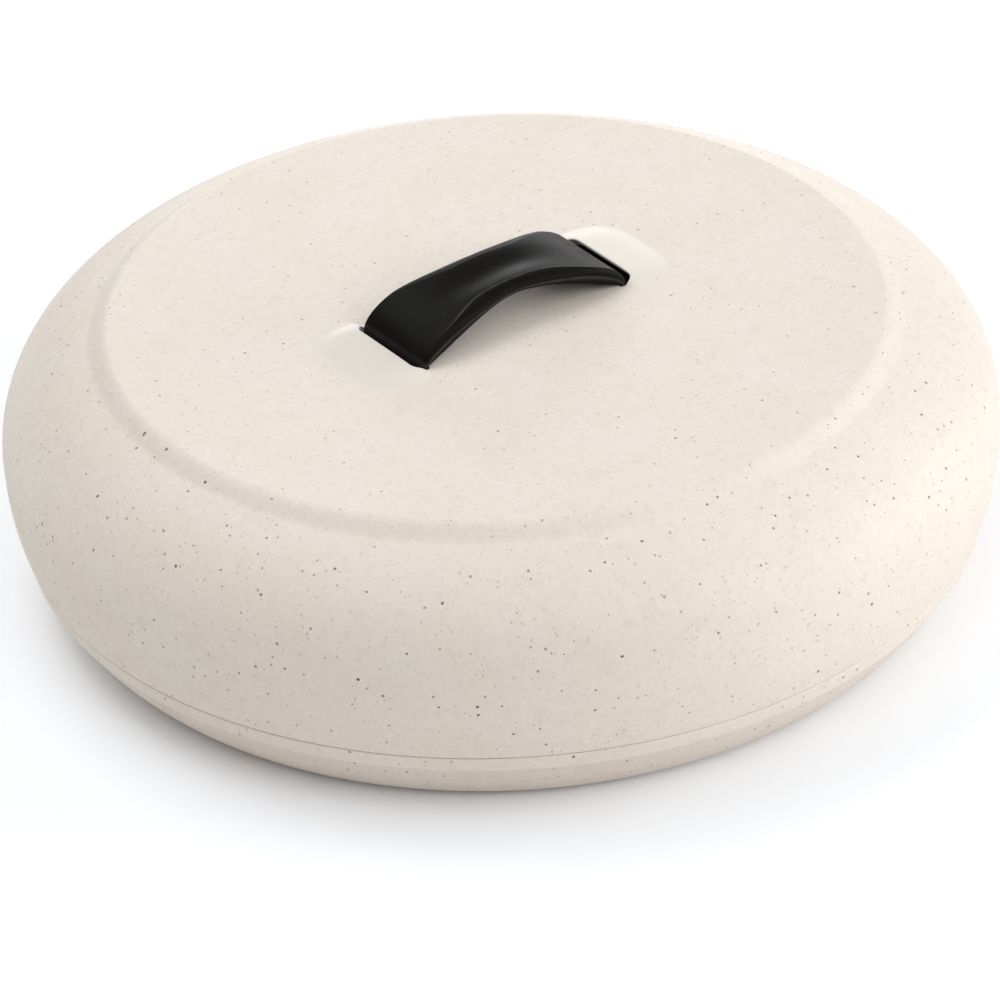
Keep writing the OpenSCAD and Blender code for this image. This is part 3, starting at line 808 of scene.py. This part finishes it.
@dataclass(frozen=True)
class BaseAssembly:
    """The base: outer shell with its rim band and foot, the well for the tortillas, the foam between."""

    shop: Shop
    steps: int = 28
    lip: float = 0.15
    foot_steps: int = 12
    corner_steps: int = 20
    edge_steps: int = 5

    def build(self) -> None:
        """Builds and dresses the base's pieces."""
        shop = self.shop
        shop.turned("base_shell", self.shell_profile(), shop.shell, Body.BASE, "base_outer_shell")
        shop.turned("base_well", self.well_profile(), shop.liner, Body.BASE, "base_inner_liner")
        shop.keep("base_insulation", shop.foam)

    def shell_profile(self) -> list[Point2]:
        """Closed outline of the outer shell.

        Returns:
            The points, from the axis under the floor round to the axis above it.
        """
        f = self.shop.form
        wall, inside = f.lower(), f.lower(f.shell_t)
        turn = 90 - f.lean(f.foot_turn_z)
        foot_round = f.foot_turn_z / (1 - math.cos(math.radians(turn)))
        foot_r = wall.r_at(f.foot_turn_z) - foot_round * math.sin(math.radians(turn))
        inner_r, inner_z = foot_r - f.foot_w, f.foot_hollow
        rings = (0.0, inner_r / 3, inner_r / 1.5, inner_r - inner_z - 1, inner_r - inner_z)
        band_r = wall.r_at(f.band_z) + f.rim_band_proud
        lean = math.degrees(math.atan2(f.seam_r - band_r, f.rim_band_h))
        edge, high_z = f.seam_edge_r, f.seam_z - f.seam_gap
        high_r = f.seam_r - f.seam_gap * math.tan(math.radians(lean))
        edge_centre = (high_r - edge * math.tan(math.radians(45 + lean / 2)), high_z - edge)
        floor_z = inner_z + f.shell_t
        inner = inside.points(floor_z, f.band_z - f.liner_t, self.steps)
        seat_z = f.seam_z - f.liner_t
        return [
            *((r, inner_z) for r in rings),
            (inner_r, 0.0),
            *arc((foot_r, foot_round), foot_round, -90, -90 + turn, self.foot_steps)[:-1],
            *wall.points(f.foot_turn_z, f.band_z - f.rim_band_proud, self.steps),
            *self.band_step(band_r),
            *arc(edge_centre, edge, -lean, 90, self.edge_steps + 1),
            (f.land_r + f.seam_seen, high_z),
            (f.land_r + f.seam_seen, f.seam_z),
            (f.land_r, f.seam_z),
            (f.land_r, seat_z),
            (f.ledge_r, seat_z),
            (f.ledge_r, seat_z - f.liner_t),
            (inside.r_at(f.band_z), f.band_z),
            *reversed(inner),
            (inner[0][0] * 0.6, floor_z),
            (0.0, floor_z),
        ]

    def band_step(self, band_r: float) -> list[Point2]:
        """Points of the crisp step under the rim band, from the wall to the band.

        Args:
            band_r: Radius of the band's lower edge.

        Returns:
            The points, upwards.
        """
        z, lip = self.shop.form.band_z, self.lip
        wall_r = self.shop.form.lower().r_at(z - lip * 2)
        inside = [(wall_r, z - lip * 2), (wall_r + lip * 0.7, z - lip * 0.5), (wall_r + lip * 2, z)]
        return [*inside, (band_r - lip, z), (band_r - lip * 0.25, z + lip * 0.25), (band_r, z + lip)]

    def well_profile(self) -> list[Point2]:
        """Closed outline of the liner with its flange and locating lip.

        Returns:
            The points, from the axis under the floor round to the axis above it.
        """
        f = self.shop.form
        under_floor = f.foot_hollow + f.shell_t + f.base_gap_h
        floor_z = under_floor + f.liner_t
        centre_z = floor_z + f.well_corner_r
        centre = (f.well_r(centre_z, -f.well_corner_r), centre_z)
        under_z = f.seam_z - f.liner_t
        flange_r = f.land_r - f.flange_clear
        edge, top = f.seam_edge_r, f.lip_top_z
        return [
            (0.0, under_floor),
            (centre[0] * 0.6, under_floor),
            *arc(centre, f.well_corner_r + f.liner_t, -90, -f.well_draft, self.corner_steps),
            (f.well_r(under_z, f.liner_t), under_z),
            (flange_r, under_z),
            (flange_r, f.seam_z),
            (f.lip_r, f.seam_z),
            *arc((f.lip_r - edge, top - edge), edge, 0, 90, self.edge_steps),
            *arc((f.well_r(top, 0.0) + edge, top - edge), edge, 90, 180 - f.well_draft, self.edge_steps),
            *arc(centre, f.well_corner_r, -f.well_draft, -90, self.corner_steps),
            (centre[0] * 0.6, floor_z),
            (0.0, floor_z),
        ]


@dataclass(frozen=True)
class HoodForm:
    """The smooth hoods over the strap's two ends, and the slot and mouth that the strap goes through."""

    hood_x: float = 40.3
    height: float = 2.0
    depth: float = 19.5
    half_w: float = 22.3
    front_run: float = 4.8
    fall: float = 0.92
    edge_full: float = 3.2
    square: float = 2.8
    sink: float = 0.25
    lip_t: float = 0.7
    lip_edge_r: float = 0.3
    slot_x: float = 35.1
    slot_end_x: float = 42.7
    slot_half_w: float = 15.7
    corner_r: float = 3.5
    small_r: float = 1.0
    lip_rows: tuple[float, ...] = (0.06, 0.2, 0.5, 1.0, 1.6)
    rings: int = 24
    ring_pack: float = 1.5
    spokes: int = 88
    line_steps: int = 10
    sliver: float = 0.018

    def rise(self, x: float, y: float) -> float:
        """Height of the hood's skin above the disc.

        Args:
            x: Place of a point of the +X hood along the handle.
            y: Its place across the handle.

        Returns:
            The height, 0 outside the hood.
        """
        along = x - self.hood_x
        u, v = along / (self.depth if along > 0 else self.front_run), abs(y) / self.half_w
        t = (abs(u) ** self.square + v**self.square) ** (1 / self.square)
        if t >= 1:
            return 0.0
        share = (1 - self.fall * max(u, 0.0)) * (1 + math.cos(math.pi * t**self.edge_full)) / 2
        return max((self.height + self.sink) * share - self.sink, 0.0)

    def gap(self, x: float, y: float) -> float:
        """Distance of a point beside the +X slot from the slot's edge.

        Args:
            x: The point's place along the handle.
            y: Its place across the handle.

        Returns:
            The distance, below 0 in the slot.
        """
        past_x, past_y = x - (self.hood_x - self.corner_r), abs(y) - (self.slot_half_w - self.corner_r)
        if past_x > 0 and past_y > 0:
            return math.hypot(past_x, past_y) - self.corner_r
        return max(past_x, past_y) - self.corner_r

    def lip(self, lip_x: float, grow: float = 0.0) -> list[Point2]:
        """Line of the lip with its rounded ends, from -Y to +Y.

        Args:
            lip_x: Where the straight part of the lip lies.
            grow: How far the line is moved outwards.

        Returns:
            The line's points.
        """
        flat, n = self.slot_half_w - self.corner_r, self.line_steps
        r, x = self.corner_r + grow, lip_x - self.corner_r
        straight = [(lip_x + grow, flat * (i / n - 1)) for i in range(1, 2 * n)]
        return [*arc((x, -flat), r, -90, 0, n), *straight, *arc((x, flat), r, 0, 90, n)]

    def inner(self) -> list[Point2]:
        """Edge of the slot on the strap's side.

        Returns:
            The points, from the lip's +Y end round to its -Y end.
        """
        r, n = self.small_r, self.line_steps
        flat, x = self.slot_half_w - r, self.slot_x + r
        start = self.hood_x - self.corner_r
        across = [(self.slot_x, flat * (1 - i / n)) for i in range(1, 2 * n)]
        corners = arc((x, flat), r, 90, 180, n // 2), arc((x, -flat), r, 180, 270, n // 2)
        return [(start, self.slot_half_w), *corners[0], *across, *corners[1], (start, -self.slot_half_w)]

    def skin_points(self) -> list[Point2]:
        """Points of the +X hood's skin and of its rounded lip.

        Returns:
            The points outside the slot.
        """
        found = []
        for j in range(1, self.rings + 1):
            t = 1 - (1 - j / self.rings) ** self.ring_pack
            for i in range(self.spokes):
                a = math.tau * i / self.spokes
                u, v = (math.copysign(abs(w) ** (2 / self.square), w) for w in (math.cos(a), math.sin(a)))
                x = self.hood_x + (self.depth if u >= 0 else self.front_run) * t * u
                y = self.half_w * t * v
                if self.gap(x, y) > self.lip_edge_r * 2:
                    found.append((x, y))
        for row in self.lip_rows:
            found += self.lip(self.hood_x, self.lip_edge_r * row)
        return found


@dataclass(frozen=True)
class LidAssembly:
    """The lid: outer shell with its raised disc and hoods, the liner and the foam between."""

    shop: Shop
    hood: HoodForm = field(default_factory=HoodForm)
    steps: int = 40
    crease_steps: int = 28
    under_ring_r: float = 72.0
    top_ring_w: float = 0.8
    halo_r: Point2 = (64.0, 88.0)

    def build(self) -> None:
        """Builds and dresses the lid's pieces."""
        shop = self.shop
        closing = [self.top_plate(), self.under_plate(), *self.slot_walls()]
        shop.turned("lid_shell", self.shell_profile(), shop.shell, Body.LID, "lid_outer_shell", closing)
        shop.turned("lid_liner", self.liner_profile(), shop.liner, Body.LID, "lid_inner_liner")
        shop.keep("lid_insulation", shop.foam)

    def shell_profile(self) -> list[Point2]:
        """Outline of the outer shell without the plates that close the disc.

        Returns:
            The points, from under the disc out and down to the rim and up to the disc's edge.
        """
        f = self.shop.form
        upper, lower, inside = f.upper(), f.lower(), f.upper(f.shell_t)
        lean = f.lean(f.seam_z)
        edge, low_z = f.seam_edge_r, f.seam_z + f.seam_gap
        edge_centre = (lower.r_at(low_z) - edge * math.tan(math.radians(45 - lean / 2)), low_z + edge)
        crease_r = f.disc_r + f.disc_edge_w
        seat_z = f.seam_z + f.liner_t
        crease = []
        for i in range(1, self.crease_steps + 1):
            share = i / self.crease_steps
            r = crease_r - f.disc_edge_w * i / self.crease_steps
            crease.append((r, upper.z_at(r) + (f.disc_z - upper.z_at(r)) * smooth(share)))
        return [
            (self.under_ring_r, f.disc_under_z),
            (f.disc_r - f.shell_t - f.disc_step, f.disc_under_z),
            *reversed(inside.points(f.belly_z, inside.z_at(f.disc_r - f.shell_t), self.steps)),
            *f.lower(f.shell_t).points(f.belly_z, f.seam_z + f.liner_t * 2 + f.rim_ledge_w, self.steps)[1:],
            (f.ledge_r, f.seam_z + f.liner_t * 2),
            (f.ledge_r, seat_z),
            (f.land_r, seat_z),
            (f.land_r, f.seam_z),
            (f.land_r + f.seam_seen, f.seam_z),
            (f.land_r + f.seam_seen, low_z),
            *arc(edge_centre, edge, -90, -lean, 6),
            *lower.points(low_z + edge, f.belly_z, self.steps),
            *upper.points(f.belly_z, upper.z_at(crease_r), self.steps * 2)[1:],
            *crease,
            (f.disc_r - self.top_ring_w, f.disc_z),
        ]

    def liner_profile(self) -> list[Point2]:
        """Closed outline of the liner with its flange.

        Returns:
            The points, from the axis under the ceiling round to the axis above it.
        """
        f = self.shop.form
        skirt_r, flange_r = f.lip_r + f.lip_clear, f.land_r - f.flange_clear
        ceiling_z = f.disc_under_z - f.lid_gap_h - f.liner_t
        seat_z, centre_r = f.seam_z + f.liner_t, skirt_r - f.ceiling_run

        def dome(grow: float) -> list[Point2]:
            run, rise = f.ceiling_run + grow, ceiling_z - f.belly_z + grow
            curve = Quarter(centre_r, f.belly_z, run, rise, f.ceiling_full)
            return curve.points(f.belly_z, ceiling_z + grow, self.steps)

        return [
            (0.0, ceiling_z),
            (centre_r * 0.6, ceiling_z),
            *reversed(dome(0.0)),
            (skirt_r, f.seam_z),
            (flange_r, f.seam_z),
            (flange_r, seat_z),
            (skirt_r + f.liner_t, seat_z),
            *dome(f.liner_t),
            (centre_r * 0.6, ceiling_z + f.liner_t),
            (0.0, ceiling_z + f.liner_t),
        ]

    def slot_loop(self, lip_x: float) -> list[Point2]:
        """Closed outline of the +X slot with its lip line at lip_x."""
        line = self.hood.lip(lip_x)
        return self.hood.inner() + (line[1:-1] if lip_x == self.hood.hood_x else line)

    def top_height(self, x: float, y: float) -> float:
        """Height of the lid's top, with the lips of the hoods rounded.

        Args:
            x: Place of a point of the disc along the handle.
            y: Its place across the handle.

        Returns:
            The height.
        """
        h = self.hood
        z, into = h.rise(abs(x), y), h.gap(abs(x), y)
        if into < h.lip_edge_r and z > 0:
            short = h.lip_edge_r - max(into, 0.0)
            z -= min(h.lip_edge_r - math.sqrt(h.lip_edge_r**2 - short**2), z / 2)
        return self.shop.form.disc_z + z

    def plate(self, name: str, ring_r: float, lip_x: float, extra: list[Point2], height: Height) -> Mesh:
        """Fills a round plate with its two slots left open.

        Args:
            name: The mesh's name.
            ring_r: Radius of the plate.
            lip_x: Where the slots' lip lines lie.
            extra: More points of the +X half.
            height: Gives a point's height.

        Returns:
            The plate's mesh.
        """
        h, count = self.hood, TurnedSkins.SEGMENTS
        angles = [math.tau * i / count for i in range(count)]
        points = [(ring_r * math.cos(a), ring_r * math.sin(a)) for a in angles]
        edges = [(i, (i + 1) % count) for i in range(count)]
        loop = self.slot_loop(lip_x)
        for turn in (1, -1):
            start, wide = len(points), len(loop)
            points += [(turn * x, turn * y) for x, y in loop + extra]
            edges += [(start + i, start + (i + 1) % wide) for i in range(wide)]
        flat, _, faces, *_ = delaunay_2d_cdt([Vector(p) for p in points], edges, [], 0, 1e-5)
        kept = []
        for face in faces:
            x, y = (abs(sum(flat[i][axis] for i in face) / len(face)) for axis in (0, 1))
            if x < h.slot_x or h.gap(x - lip_x + h.hood_x, y) > -h.sliver:
                kept.append(tuple(face))
        return mesh_from(name, [(p.x, p.y, height(p.x, p.y)) for p in flat], kept)

    def top_plate(self) -> Mesh:
        """The disc's top with the two hoods.

        Returns:
            The mesh, open at the slots and at its round edge.
        """
        angles = [math.radians(-87 + 6 * i) for i in range(30)]
        halo = [(r * math.cos(a), r * math.sin(a)) for r in self.halo_r for a in angles]
        ring_r, extra = self.shop.form.disc_r - self.top_ring_w, self.hood.skin_points() + halo
        return self.plate("top_plate", ring_r, self.hood.hood_x, extra, self.top_height)

    def under_plate(self) -> Mesh:
        """The disc's underside round the slots."""
        under = self.shop.form.disc_under_z
        return self.plate("under_plate", self.under_ring_r, self.hood.slot_end_x, [], lambda x, y: under)

    def slot_walls(self) -> list[Mesh]:
        """Walls of the two slots, with the lips' front faces and the mouths' ceilings.

        Returns:
            A mesh for each slot.
        """
        f, h = self.shop.form, self.hood
        mouth_z, under_z = f.disc_z + h.height - h.lip_t, f.disc_under_z

        def level(line: Iterable[Point2], z: float) -> list[Point3]:
            return [(x, y, z) for x, y in line]

        def below_skin(line: Iterable[Point2]) -> list[Point3]:
            return [(x, y, min(mouth_z, self.top_height(x, y) - 0.05)) for x, y in line]

        wall, lip, end = h.inner(), h.lip(h.hood_x), h.lip(h.slot_end_x)
        strips = []
        for line, *rest in ((wall, level(wall, under_z)), (lip, level(end, mouth_z), level(end, under_z))):
            strips.append([[(x, y, self.top_height(x, y)) for x, y in line], below_skin(line), *rest])
        for side in ((lip[0], end[0]), (end[-1], lip[-1])):
            strips.append([below_skin(side), level(side, under_z)])
        made = []
        for turn in (1, -1):
            points: list[Point3] = []
            faces: list[tuple[int, ...]] = []
            for rows in strips:
                start, wide = len(points), len(rows[0])
                points += [(turn * x, turn * y, z) for row in rows for x, y, z in row]
                for j in range(len(rows) - 1):
                    first = start + j * wide
                    faces += [(a, a + 1, a + wide + 1, a + wide) for a in range(first, first + wide - 1)]
            made.append(mesh_from("slot_walls", points, faces))
        return made


@dataclass(frozen=True)
class StrapAssembly:
    """The moulded strap, a ridged arch with a thumb hollow, legs and feet, and the screws that hold it."""

    shop: Shop
    half: float = 37.7
    rise: float = 13.7
    under: float = 9.9
    full: float = 1.92
    under_soft: float = 0.8
    end_w: float = 15.3
    mid_w: float = 11.9
    flare: float = 1.4
    ridge_y: float = 8.7
    hollow: float = 1.1
    web_t: float = 2.8
    side_t: float = 2.4
    leg_t: float = 2.2
    foot_t: float = 2.8
    foot_len: float = 17.0
    boss_len: float = 4.0
    plug_drop: float = 1.0
    plug_end: float = 42.3
    plug_r: float = 3.1
    fade_start: float = 0.2
    fade_span: float = 0.55
    side_share_mid: float = 0.66
    side_share_end: float = 0.5
    leg_shares: Point2 = (0.5, 1.0)
    foot_shares: Point2 = (0.4, 1.0)
    # These set where the painted highlight lines along the ridges, edges and ends run, and how strong they
    # are.
    grip_end: float = 0.82
    grip_fade: float = 0.3
    edge_highlight: float = 0.8
    end_start: float = 0.975
    end_fade: float = 0.02
    end_highlight: float = 0.45
    arch_steps: int = 72
    hollow_steps: int = 14
    roll_steps: int = 12

    def build(self) -> None:
        """Builds the strap and keeps the screws."""
        mesh = self.loft()
        self.mark_highlight_lines(mesh)
        self.shop.place("strap_handle", mesh, self.shop.strap, Body.LID, "handle_strap")
        self.shop.keep("handle_screws", self.shop.steel)

    def stations(self) -> list[tuple[Point2, Point2, bool]]:
        """Places of the cross-sections, from the end of one foot to the end of the other.

        Returns:
            Outer point, inner point and whether it is a leg or foot, for each section.
        """
        f, soft = self.shop.form, self.under_soft
        inner_x = self.half - self.leg_t
        foot_top = f.disc_under_z - self.boss_len
        foot_bottom = foot_top - self.foot_t
        half: list[tuple[Point2, Point2, bool]] = []
        for k in range(self.arch_steps + 1):
            a = math.radians(90 * k / self.arch_steps)
            reach, crown = (max(v, 0.0) ** (2 / self.full) for v in (math.sin(a), math.cos(a)))
            drop = (math.hypot(reach, soft) - soft) / (math.hypot(1, soft) - soft)
            top = (self.half * reach, f.disc_z + self.rise * crown)
            half.append((top, (inner_x * reach, f.disc_z + self.under * (1 - drop)), False))
        for share in self.leg_shares:
            z_top, z_low = (f.disc_z + (z - f.disc_z) * share for z in (foot_top, foot_bottom))
            half.append(((self.half, z_top), (inner_x, z_low), True))
        for share in self.foot_shares:
            x_top = self.half + (inner_x + self.foot_len - self.half) * share
            half.append(((x_top, foot_top), (inner_x + self.foot_len * share, foot_bottom), True))
        mirrored = [((-t[0], t[1]), (-b[0], b[1]), leg) for t, b, leg in reversed(half[1:])]
        return mirrored + half

    def half_section(self, along: float, depth: float, web_t: float) -> list[Point2]:
        """Half of a cross-section, from the middle of the top to the middle of the underside.

        Args:
            along: Distance from mid length as a share of the half length.
            depth: Depth of the section.
            web_t: Thickness of the web.

        Returns:
            Points as (across, depth below the outer face).
        """
        half_w = self.mid_w + (self.end_w - self.mid_w) * math.sin(math.pi / 2 * along) ** self.flare
        edge = self.leg_t / 2
        fade = smooth((along - self.fade_start) / self.fade_span)
        ridge = self.ridge_y + (half_w - edge - self.ridge_y) * fade
        hollow = min(self.hollow * (1 - fade), depth / 3)
        lip = depth * (self.side_share_mid + (self.side_share_end - self.side_share_mid) * fade)
        tuck, inner, n = edge / 3, half_w - self.side_t, self.hollow_steps
        under = min(depth, web_t + hollow)
        points = [(ridge * i / n, hollow * (1 + math.cos(math.pi * i / n)) / 2) for i in range(n)]
        for i in range(self.roll_steps + 1):
            a = math.pi / 2 * i / self.roll_steps
            points.append((ridge + (half_w - ridge) * math.sin(a), lip * (1 - math.cos(a))))
        points += [(half_w - tuck, (lip + depth + tuck) / 2), (half_w - tuck * 2, depth)]
        return points + [(inner, depth), (inner - self.side_t / 2, under), (inner / 2, under), (0.0, under)]

    def sections(self) -> list[tuple[float, bool, list[Point3]]]:
        """Half sections in their places.

        Returns:
            Share of the half length, whether it is a leg or foot, and the points, for each section.
        """
        found = []
        for top, low, leg in self.stations():
            depth = math.hypot(low[0] - top[0], low[1] - top[1])
            along = min(abs(top[0]) / self.half, 1.0)
            step = ((low[0] - top[0]) / depth, (low[1] - top[1]) / depth)
            half = self.half_section(along, depth, depth if leg else self.web_t)
            found.append((along, leg, [(top[0] + step[0] * d, y, top[1] + step[1] * d) for y, d in half]))
        return found

    def loft(self) -> Mesh:
        """The strap's closed mesh.

        Returns:
            The arch, legs and feet, welded to the two blocks beside the legs.
        """
        rings = [half + [(x, -y, z) for x, y, z in half[-2:0:-1]] for _, _, half in self.sections()]
        wide, last = len(rings[0]), (len(rings) - 1) * len(rings[0])
        faces = [tuple(range(wide)), tuple(range(last, last + wide))]
        for j in range(0, last, wide):
            for i in range(wide):
                a, b = j + i, j + (i + 1) % wide
                faces.append((a, b, b + wide, a + wide))
        arch = mesh_from("strap_loft", [p for ring in rings for p in ring], faces)
        return weld("strap_handle", [arch, self.plug(1), self.plug(-1)], 40.0)

    def mark_highlight_lines(self, mesh: Mesh) -> None:
        """Marks the grip ridges, the rolled edges and the ends, where the strap gets painted highlight lines
        and more gloss, from 0 to 1.

        Args:
            mesh: The strap's mesh, which gets the attribute highlight_lines.
        """
        highlight_share: dict[tuple[int, ...], float] = {}
        widest = self.hollow_steps + self.roll_steps
        per_mm = 50

        def key(point: Iterable[float]) -> tuple[int, ...]:
            return tuple(round(v * per_mm) for v in point)

        for along, leg, half in self.sections():
            if leg:
                continue
            grip = smooth((self.grip_end - along) / self.grip_fade)
            lines = {self.hollow_steps: grip, widest: self.edge_highlight}
            end = self.end_highlight * smooth((along - self.end_start) / self.end_fade)
            for index, (x, y, z) in enumerate(half):
                highlight_share[key((x, y, z))] = highlight_share[key((x, -y, z))] = max(lines.get(index, 0.0), end)
        layer = mesh.attributes.new("highlight_lines", "FLOAT", "POINT")
        for vertex, item in zip(mesh.vertices, layer.data):
            item.value = highlight_share.get(key(vertex.co / MM), 0.0)

    def plug(self, turn: int) -> Mesh:
        """Black block that fills the slot outside a leg and puts a dark sheet of painted shade in the mouth
        under the hood.

        Args:
            turn: 1 for the block at +X, -1 for the other.

        Returns:
            The block's mesh.
        """
        f, r = self.shop.form, self.plug_r
        x0, x1 = self.half - self.leg_t / 2, self.plug_end - r
        half_w = self.end_w - self.leg_t / 6
        edge = [(x0, half_w), (x0, -half_w)]
        edge += arc((x1, r - half_w), r, -90, 0, 8) + arc((x1, half_w - r), r, 0, 90, 8)
        count = len(edge)
        rows = (f.disc_under_z - self.boss_len, f.disc_z - self.plug_drop)
        points = [(turn * x, turn * y, z) for z in rows for x, y in edge]
        sides = [(i, (i + 1) % count, count + (i + 1) % count, count + i) for i in range(count)]
        return mesh_from("plug", points, [*sides, tuple(range(count)), tuple(range(count, 2 * count))])


# ---- Stage ------------------------------------------------------------------


@dataclass(frozen=True)
class Panel:
    """A soft light panel that faces the object, placed by its bearing from the camera's right."""

    name: str
    bearing: float
    elevation: float
    size: Point2
    watts: float
    distance: float = 1.7

    def build(self, azimuth: float, target: Vector) -> None:
        """Adds the light.

        Args:
            azimuth: The direction of the camera's right in degrees.
            target: The point that the panel faces.
        """
        lamp = bpy.data.lights.new(self.name, "AREA")
        lamp.shape = "RECTANGLE"
        lamp.size, lamp.size_y = self.size
        lamp.energy = self.watts
        made = bpy.data.objects.new(self.name, lamp)
        bpy.context.scene.collection.objects.link(made)
        turn, rise = math.radians(azimuth + self.bearing), math.radians(self.elevation)
        aim = Vector((math.cos(turn) * math.cos(rise), math.sin(turn) * math.cos(rise), math.sin(rise)))
        facing = aim.to_track_quat("Z", "Y").to_matrix().to_4x4()
        made.matrix_world = Matrix.Translation(target + aim * self.distance) @ facing


LOW, MID, HIGH = (1.1, 0.4), (1.0, 0.7), (1.0, 1.0)


@dataclass(frozen=True)
class Stage:
    """Floor, surroundings, soft lights and the camera at the photograph's angle."""

    azimuth: float = -35.0
    elevation: float = 33.05
    roll: float = 2.94
    distance: float = 1.8
    focal_px: float = 5991.0
    frame_px: float = 1000.0
    sensor: float = 36.0
    aim: Point3 = (0.0, 0.0, 0.0525)
    shift_right: float = -0.0016
    shift_up: float = -0.0316
    ambient: float = 0.342
    floor_half: float = 6000.0
    floor_seen: Colour = (1.09, 1.125, 1.17, 1.0)
    floor_ends: Point2 = (0.55, 1.0)
    panels: tuple[Panel, ...] = (
        Panel("right_low", 0, 9, LOW, 9.4),
        Panel("back_low", 90, 9, LOW, 5.6),
        Panel("right", 0, 30, MID, 3.8),
        Panel("back_right", 45, 30, MID, 1.2),
        Panel("front_right", 315, 30, MID, 5.0),
        Panel("back_high", 135, 58, HIGH, 7.5),
        Panel("left_high", 180, 58, HIGH, 4.3),
        Panel("front_high", 270, 58, HIGH, 3.2),
        Panel("top", 0, 90, HIGH, 1.0),
    )

    def build(self) -> None:
        """Builds everything that isn't the object."""
        self.floor()
        self.world()
        for panel in self.panels:
            panel.build(self.azimuth, Vector((0.0, 0.0, 0.05)))
        self.camera()
        bpy.context.scene.view_settings.view_transform = "Standard"

    def floor(self) -> None:
        """A wide pale floor that keeps the object's shadow and fades into the white surroundings."""
        half = self.floor_half
        corners = [(half * x, half * y, -0.2) for x, y in ((-1, -1), (1, -1), (1, 1), (-1, 1))]
        floor = add_object("floor", mesh_from("floor", corners, [(0, 1, 2, 3)]))
        material = bpy.data.materials.new("pale_floor")
        material.use_nodes = True
        material.node_tree.nodes.clear()
        g = Graph(material.node_tree)
        seen = g.node("ShaderNodeLightPath").outputs["Is Camera Ray"]
        tone = g.mix(seen, (0.92, 0.92, 0.92, 1.0), self.floor_seen)
        matt = g.node("ShaderNodeBsdfDiffuse", {"Color": tone}).outputs[0]
        clear = g.node("ShaderNodeBsdfTransparent").outputs[0]
        place = g.node("ShaderNodeTexCoord").outputs["Object"]
        radius = g.node("ShaderNodeVectorMath", {0: place}, operation="LENGTH").outputs["Value"]
        away = g.sum("MULTIPLY", seen, g.ramp(radius, *self.floor_ends))
        shown = g.node("ShaderNodeMixShader", {0: away, 1: matt, 2: clear})
        g.node("ShaderNodeOutputMaterial", {"Surface": shown.outputs[0]})
        floor.data.materials.append(material)

    def world(self) -> None:
        """Soft white surroundings, plain white where the camera sees them."""
        world = bpy.data.worlds.new("surroundings")
        bpy.context.scene.world = world
        world.use_nodes = True
        world.node_tree.nodes.clear()
        g = Graph(world.node_tree)
        path = g.node("ShaderNodeLightPath").outputs
        seen = g.sum("MAXIMUM", path["Is Camera Ray"], path["Is Transmission Ray"])
        strength = g.sum("MULTIPLY_ADD", seen, 1.0 - self.ambient, self.ambient)
        sky = g.node("ShaderNodeBackground", {"Color": (1.0, 1.0, 1.0, 1.0), "Strength": strength})
        g.node("ShaderNodeOutputWorld", {"Surface": sky.outputs[0]})

    def camera(self) -> None:
        """The camera at the photograph's viewing angle."""
        data = bpy.data.cameras.new("camera")
        data.sensor_width = self.sensor
        data.lens = self.focal_px / self.frame_px * self.sensor
        data.clip_start, data.clip_end = 0.1, 50.0
        camera = bpy.data.objects.new("camera", data)
        bpy.context.scene.collection.objects.link(camera)
        turns = ((self.azimuth, "Z"), (90 - self.elevation, "X"), (-self.roll, "Z"))
        bearing, tilt, roll = (Matrix.Rotation(math.radians(angle), 4, axis) for angle, axis in turns)
        place = Vector(self.aim) + bearing @ tilt @ Vector((self.shift_right, self.shift_up, self.distance))
        camera.matrix_world = Matrix.Translation(place) @ bearing @ tilt @ roll
        bpy.context.scene.camera = camera


def main() -> None:
    """Builds the stage and the sub-assemblies in order."""
    logging.basicConfig(level=logging.INFO, format="%(message)s")
    Stage().build()
    effects = Effects()
    shop = Shop(
        WarmerForm(),
        TurnedSkins(),
        SpeckledPlastic(effects),
        LinerPlastic(effects),
        FoamFill(effects),
        StrapPlastic(effects),
        ZincSteel(effects),
    )
    for assembly in (BaseAssembly(shop), LidAssembly(shop), StrapAssembly(shop)):
        assembly.build()


if __name__ == "__main__":
    main()
